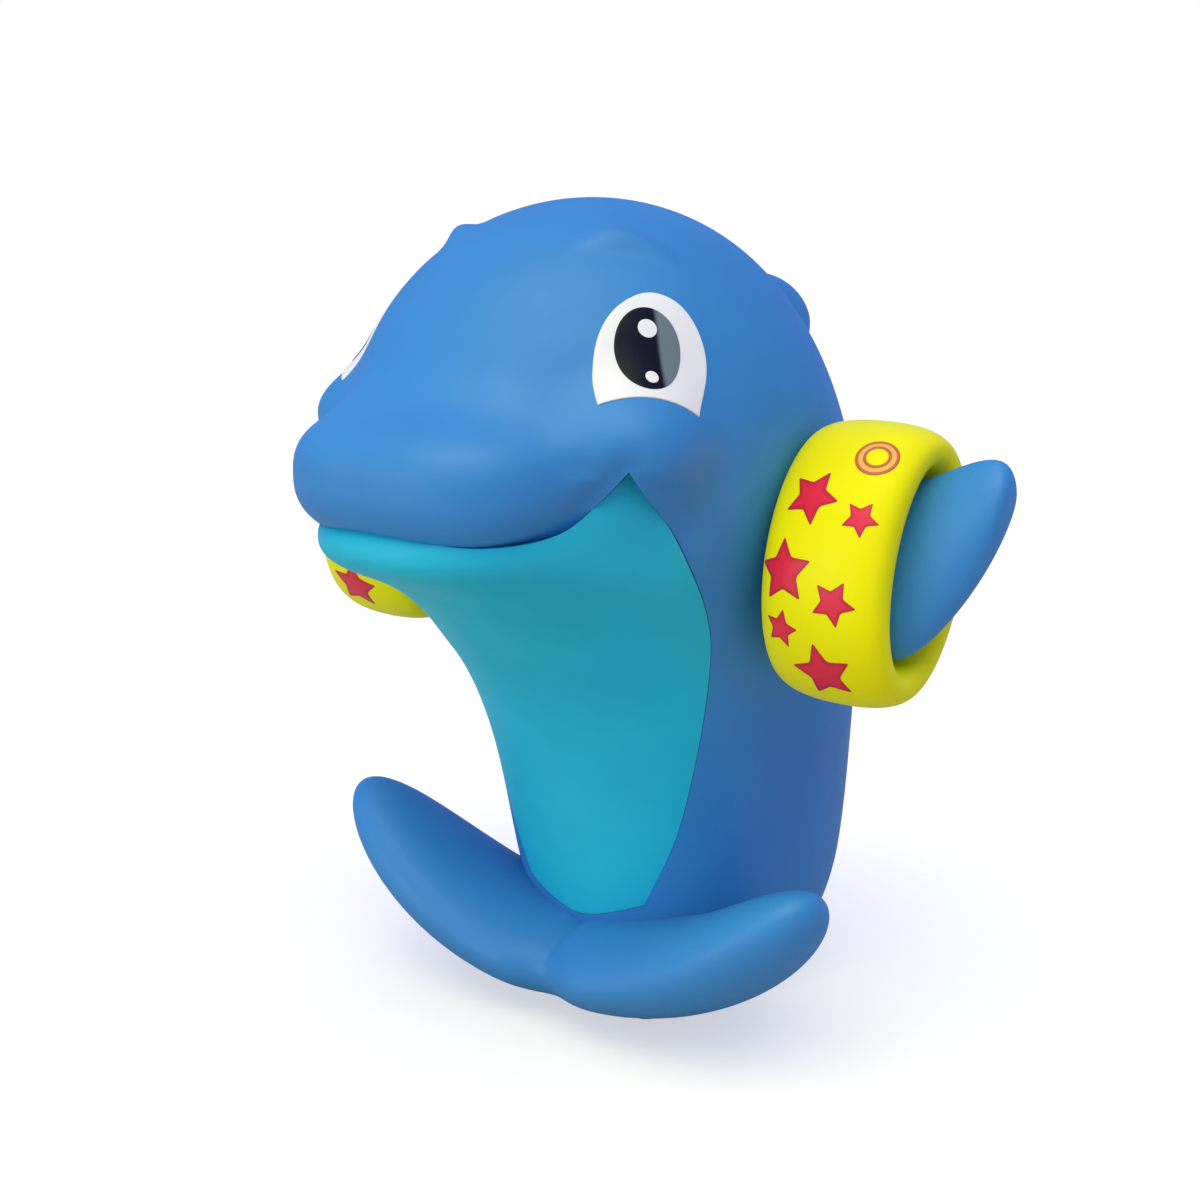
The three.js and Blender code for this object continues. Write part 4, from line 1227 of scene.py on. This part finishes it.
def mark_rows(angle, across, outlines, height):
    """A closed film of ink over outlines that run from its middle, or its inner edge, out to its edge."""
    top = [on_band(angle, across, outline, height) for outline in outlines]
    under = [on_band(angle, across, outlines[i], -INK_SINK) for i in (-1, 0)]
    inner_edge = under[1:] if np.ptp(outlines[0]) > 0 else []
    return np.array(inner_edge + top + under)


def star_outline(radius, lean):
    """A star with softened points, against the clock."""
    corners = []
    for i in range(2 * STAR_POINTS):
        reach = radius * (1 if i % 2 == 0 else STAR_WAIST)
        angle = math.radians(lean) + math.pi / 2 + i * math.pi / STAR_POINTS
        corners.append((reach * math.cos(angle), reach * math.sin(angle)))
    corners = np.array(corners + corners[:1])
    edges = [np.linspace(corners[i], corners[i + 1], 9)[:-1] for i in range(2 * STAR_POINTS)]
    points = np.concatenate(edges)
    return (np.roll(points, 1, axis=0) + 2 * points + np.roll(points, -1, axis=0)) / 4


def print_marks(name, marks):
    """One piece from the rows of several marks, each row with how near its mark's edge it lies, 0 to 1."""
    pieces = []
    for rows, rim in marks:
        piece = lattice(name, rows)
        points = np.zeros(len(piece.data.vertices) * 3)
        piece.data.vertices.foreach_get("co", points)
        flat = (rows * MM).reshape(-1, 3)
        level = np.repeat(np.array(rim), rows.shape[1])
        nearest = [int(np.argmin(np.sum((flat - point) ** 2, axis=1))) for point in points.reshape(-1, 3)]
        kept = piece.data.attributes.new("rim", "FLOAT", "POINT")
        kept.data.foreach_set("value", level[nearest])
        pieces.append(piece)
    return joined(name, pieces)


class BATHTOY_OT_armbands(Operator):
    """Shapes the puffed yellow armbands and prints their stars and valve ring"""

    bl_idname = "bathtoy.armbands"
    bl_label = "Armbands"

    def execute(self, context):
        form = context.scene.bathtoy_form
        colours = context.scene.bathtoy_colours
        height = form.ink_height / MM
        band = lattice("armband_skin_left", armband_rows())
        stars = []
        for angle, across, radius, lean in STARS:
            outlines = [star_outline(radius, lean) * part for part in STAR_RINGS]
            rows = mark_rows(math.radians(angle), across, outlines, height)
            stars.append((rows, STAR_RINGS + (1, 1)))
        stars = print_marks("armband_stars_left", stars)
        place = (math.radians(VALVE[0]), VALVE[1])
        ring = full_turn(VALVE_ROUND)
        ring = np.stack([np.cos(ring), np.sin(ring)], -1)
        lines = []
        for middle in VALVE_RINGS:
            outlines = [ring * (middle + offset) for offset in (-VALVE_LINE, 0, VALVE_LINE)]
            rows = mark_rows(*place, outlines, height)
            lines.append((rows, (EVEN_INK,) * len(rows)))
        lines = print_marks("armband_valve_left", lines)
        outlines = [ring * reach for reach in np.linspace(*VALVE_RINGS[::-1], VALVE_FILL_RINGS)]
        rows = mark_rows(*place, outlines, height / 2)
        fill = print_marks("armband_valve_fill_left", [(rows, (EVEN_INK,) * len(rows))])
        # Smoother than the body, with a weak, narrow highlight that leaves the yellow clean
        yellow = colours.yellow
        vinyl = soft_vinyl("Soft PVC, slush-moulded yellow", yellow, form.grain, roughness=0.42, shine=0.1)
        dress_pair(band, vinyl, "{}_flipper", "yellow_vinyl", "armband")
        # Flat, opaque inks with crisp edges
        for marks, ink in (
            (stars, printed_ink("Pad-printing ink, red", colours.star)),
            (lines, printed_ink("Pad-printing ink, orange", colours.valve)),
            (fill, printed_ink("Pad-printing ink, peach", colours.valve_fill)),
        ):
            dress_pair(marks, ink, "{}_flipper", "yellow_vinyl")
        return {"FINISHED"}


# Eyes


def eye_frame():
    """Where the left eye touches the head, and its own directions across, up and out."""
    level = math.cos(EYE_ELEVATION)
    way = np.array((math.sin(EYE_AZIMUTH) * level, -math.cos(EYE_AZIMUTH) * level, math.sin(EYE_ELEVATION)))
    centre = skin_points(back_depth, np.array(HEAD[0], float), way)
    out = skin_normals(back_depth, centre)
    across = np.cross((0, 0, 1), out)
    across = across / np.linalg.norm(across)
    return centre, across, np.cross(out, across), out


def on_head(flat, height):
    """Points over a flat outline of the eye, at a height off the head."""
    centre, across, up, out = eye_frame()
    start = centre - out * HEAD[1][0] / 2 + flat[..., :1] * across + flat[..., 1:] * up
    return skin_points(back_depth, start, out, height)


def plate_rows(outline, middle, height, back, edge):
    """Rings of a thin plate on the head, from the middle of its back round its edge to its front."""
    middle = np.array(middle, float)
    rows = [on_head(lerp(middle, outline, part), back) for part in (0, 0.6, 1)]
    for turn in np.linspace(0, math.pi / 2, 6):
        flat = grow(outline, -edge * (1 - math.cos(turn)))
        rows.append(on_head(flat, height - edge * (1 - math.sin(turn))))
    inner = grow(outline, -edge)
    for part in np.linspace(1, 0, 16)[1:]:
        rows.append(on_head(lerp(middle, inner, part), height))
    return np.array(rows)


def eye_outline():
    """The eye white's outline: its arch, then its lower lid."""
    upper = evenly(spline(EYE_ARCH, 300), EYE_SPACING)
    lid = arch(upper[-1], np.array(EYE_LOWER_LID), upper[0], np.linspace(0, 1, 40)[1:-1, None])
    return np.concatenate([upper, lid])[::-1]


def oval_outline(centre, half, lean, count=96):
    """An oval's outline, turned by its lean."""
    angle = full_turn(count)
    x, y = half[0] * np.cos(angle), half[1] * np.sin(angle)
    turned = (x * math.cos(lean) - y * math.sin(lean), x * math.sin(lean) + y * math.cos(lean))
    return np.stack(turned, -1) + np.array(centre)


class BATHTOY_OT_eyes(Operator):
    """Lays the eye whites, pupils and glints on the head"""

    bl_idname = "bathtoy.eyes"
    bl_label = "Eyes"

    def execute(self, context):
        colours = context.scene.bathtoy_colours
        form = context.scene.bathtoy_form
        white = lattice("eye_white_plate_left", plate_rows(eye_outline(), (0, 0), *EYE_PLATE))
        oval = oval_outline(PUPIL_CENTRE, PUPIL_HALF, PUPIL_LEAN)
        pupil = lattice("pupil_plate_left", plate_rows(oval, PUPIL_CENTRE, *PUPIL_PLATE))
        front = PUPIL_PLATE[0] + form.ink_height / MM
        glints = []
        for x, y, radius in GLINTS:
            disc = oval_outline((x, y), (radius, radius), 0, 48)
            glints.append(lattice("glint", plate_rows(disc, (x, y), front, GLINT_BACK, GLINT_EDGE)))
        glints = joined("eye_glints_left", glints)
        # Sprayed through a mask, so the white is smooth and a little glossier than the vinyl
        paint = soft_vinyl("Vinyl paint, sprayed white", colours.eye, form.grain, roughness=0.34)
        ink = pupil_ink("Pad-printing ink, gloss black", colours.pupil, colours.sheen)
        dress_pair(white, paint, "body", "eye_white", "eye_white")
        dress_pair(pupil, ink, "body", "pupil_black", "pupil")
        dress_pair(glints, paint, "body", "eye_white")
        return {"FINISHED"}


# Base fittings


class BATHTOY_OT_base_fittings(Operator):
    """Shapes the plug in the base and finishes the pieces inside"""

    bl_idname = "bathtoy.base_fittings"
    bl_label = "Base Fittings"

    def execute(self, context):
        y, z, radius = plug_place()
        plug = named(cylinder(72, radius, PLUG_CAP * MM, (0, y, z + PLUG_CAP / 2 * MM)), "base_plug_cap")
        bpy.ops.object.transform_apply(location=True, rotation=True, scale=True)
        bpy.ops.object.mode_set(mode="EDIT")
        bpy.ops.mesh.select_mode(type="FACE")
        bpy.ops.mesh.select_all(action="DESELECT")
        bpy.ops.object.mode_set(mode="OBJECT")
        for face in plug.data.polygons:
            face.select = face.normal.z < -0.9
        # The rim, the shallow dish inside it, and the bore in the middle
        bpy.ops.object.mode_set(mode="EDIT")
        bpy.ops.mesh.inset(thickness=PLUG_RIM * MM)
        bpy.ops.mesh.inset(thickness=PLUG_DISH * MM)
        bpy.ops.transform.translate(value=(0, 0, PLUG_DISH * MM))
        bpy.ops.mesh.inset(thickness=radius - (PLUG_RIM + PLUG_DISH + PLUG_BORE) * MM)
        bpy.ops.mesh.extrude_region_move(TRANSFORM_OT_translate={"value": (0, 0, PLUG_BORE_DEPTH * MM)})
        bpy.ops.object.mode_set(mode="OBJECT")
        rim = plug.modifiers.new("Rim", "BEVEL")
        rim.width = PLUG_EDGE * MM
        rim.segments = 3
        rim.limit_method = "ANGLE"
        bpy.ops.object.modifier_apply(modifier=rim.name)
        bpy.ops.object.shade_smooth_by_angle(angle=PLUG_CREASE)
        # Unpigmented PVC: pale, even grey with the same faint grain
        grain = context.scene.bathtoy_form.grain
        pale = soft_vinyl("Soft PVC, injection-moulded grey", linear("d4dade"), grain, roughness=0.5)
        dress(plug, pale, "body", "pale_vinyl", "base_plug")
        nylon = moulded_nylon("Nylon, injection moulded")
        give_material(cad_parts["flipper_retainer_left"], nylon)
        give_material(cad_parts["flipper_retainer_right"], nylon)
        give_material(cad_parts["ballast_weight"], zinc_plate("Steel, zinc plated"))
        return {"FINISHED"}


# Stage


def broad_sun(name, way, strength, spread, colour):
    """Even light from a wide part of the studio."""
    light = bpy.data.lights.new(name, "SUN")
    light.energy = strength
    light.angle = math.radians(spread)
    light.color = colour
    holder = bpy.data.objects.new(name, light)
    bpy.context.collection.objects.link(holder)
    holder.rotation_euler = Vector(way).to_track_quat("Z", "Y").to_euler()


def photo_camera(name):
    """The camera that the photograph was taken with, as far as its perspective tells."""
    level = math.cos(CAMERA_ELEVATION)
    east, north = math.sin(CAMERA_AZIMUTH), math.cos(CAMERA_AZIMUTH)
    back = Vector((east * level, -north * level, math.sin(CAMERA_ELEVATION)))
    side = Vector((north, east, 0))
    turn = Matrix((side, back.cross(side), back)).transposed()
    view = bpy.data.cameras.new(name)
    view.sensor_width = SENSOR_WIDTH
    view.lens = FOCAL_PIXELS / PHOTO_PIXELS * SENSOR_WIDTH
    view.clip_start = NEAR_CLIP
    holder = bpy.data.objects.new(name, view)
    bpy.context.collection.objects.link(holder)
    holder.matrix_world = Matrix.Translation(AIM + back * CAMERA_DISTANCE) @ turn.to_4x4()
    return holder


class BATHTOY_OT_stage(Operator):
    """Sets up the pale floor, soft light and the photograph's camera"""

    bl_idname = "bathtoy.stage"
    bl_label = "Stage"

    def execute(self, context):
        scene = context.scene
        bpy.ops.object.select_all(action="DESELECT")
        bpy.ops.mesh.primitive_plane_add(size=FLOOR_SIZE, location=(0, 0, 0))
        floor = context.object
        floor.name = "studio_floor"
        floor.location.z = -FLOOR_DROP
        floor.data.materials.append(studio_paper("Paper, matt white"))
        scene.world = studio_air("Studio")
        broad_sun("key_light", *KEY_LIGHT)
        broad_sun("front_light", *FRONT_LIGHT)
        scene.view_settings.view_transform = "Standard"
        scene.camera = photo_camera("photo_camera")
        return {"FINISHED"}


class BATHTOY_PT_sidebar(Panel):
    """Lists the steps that dress the toy, with its colours and small sizes"""

    bl_idname = "BATHTOY_PT_sidebar"
    bl_label = "Dolphin Bath Toy"
    bl_space_type = "VIEW_3D"
    bl_region_type = "UI"
    bl_category = "Bath Toy"

    def draw(self, context):
        column = self.layout.column(align=True)
        for operator in OPERATORS:
            column.operator(operator.bl_idname)
        for group in (context.scene.bathtoy_colours, context.scene.bathtoy_form):
            box = self.layout.box()
            for name in group.bl_rna.properties.keys():
                if name not in ("rna_type", "name"):
                    box.prop(group, name)


OPERATORS = (
    BATHTOY_OT_stage,
    BATHTOY_OT_body_skin,
    BATHTOY_OT_belly_panel,
    BATHTOY_OT_tail_flukes,
    BATHTOY_OT_flippers,
    BATHTOY_OT_armbands,
    BATHTOY_OT_eyes,
    BATHTOY_OT_base_fittings,
)
CLASSES = (DolphinColours, DolphinForm) + OPERATORS + (BATHTOY_PT_sidebar,)


def register():
    """Registers the classes and hangs the properties on the scene."""
    for entry in CLASSES:
        bpy.utils.register_class(entry)
    bpy.types.Scene.bathtoy_colours = PointerProperty(type=DolphinColours)
    bpy.types.Scene.bathtoy_form = PointerProperty(type=DolphinForm)


def unregister():
    """Takes the properties and classes away again."""
    del bpy.types.Scene.bathtoy_form
    del bpy.types.Scene.bathtoy_colours
    for entry in reversed(CLASSES):
        bpy.utils.unregister_class(entry)


def main():
    """Dresses the toy."""
    register()
    bpy.ops.bathtoy.stage()
    bpy.ops.bathtoy.body_skin()
    bpy.ops.bathtoy.belly_panel()
    bpy.ops.bathtoy.tail_flukes()
    bpy.ops.bathtoy.flippers()
    bpy.ops.bathtoy.armbands()
    bpy.ops.bathtoy.eyes()
    bpy.ops.bathtoy.base_fittings()


if __name__ == "__main__":
    main()
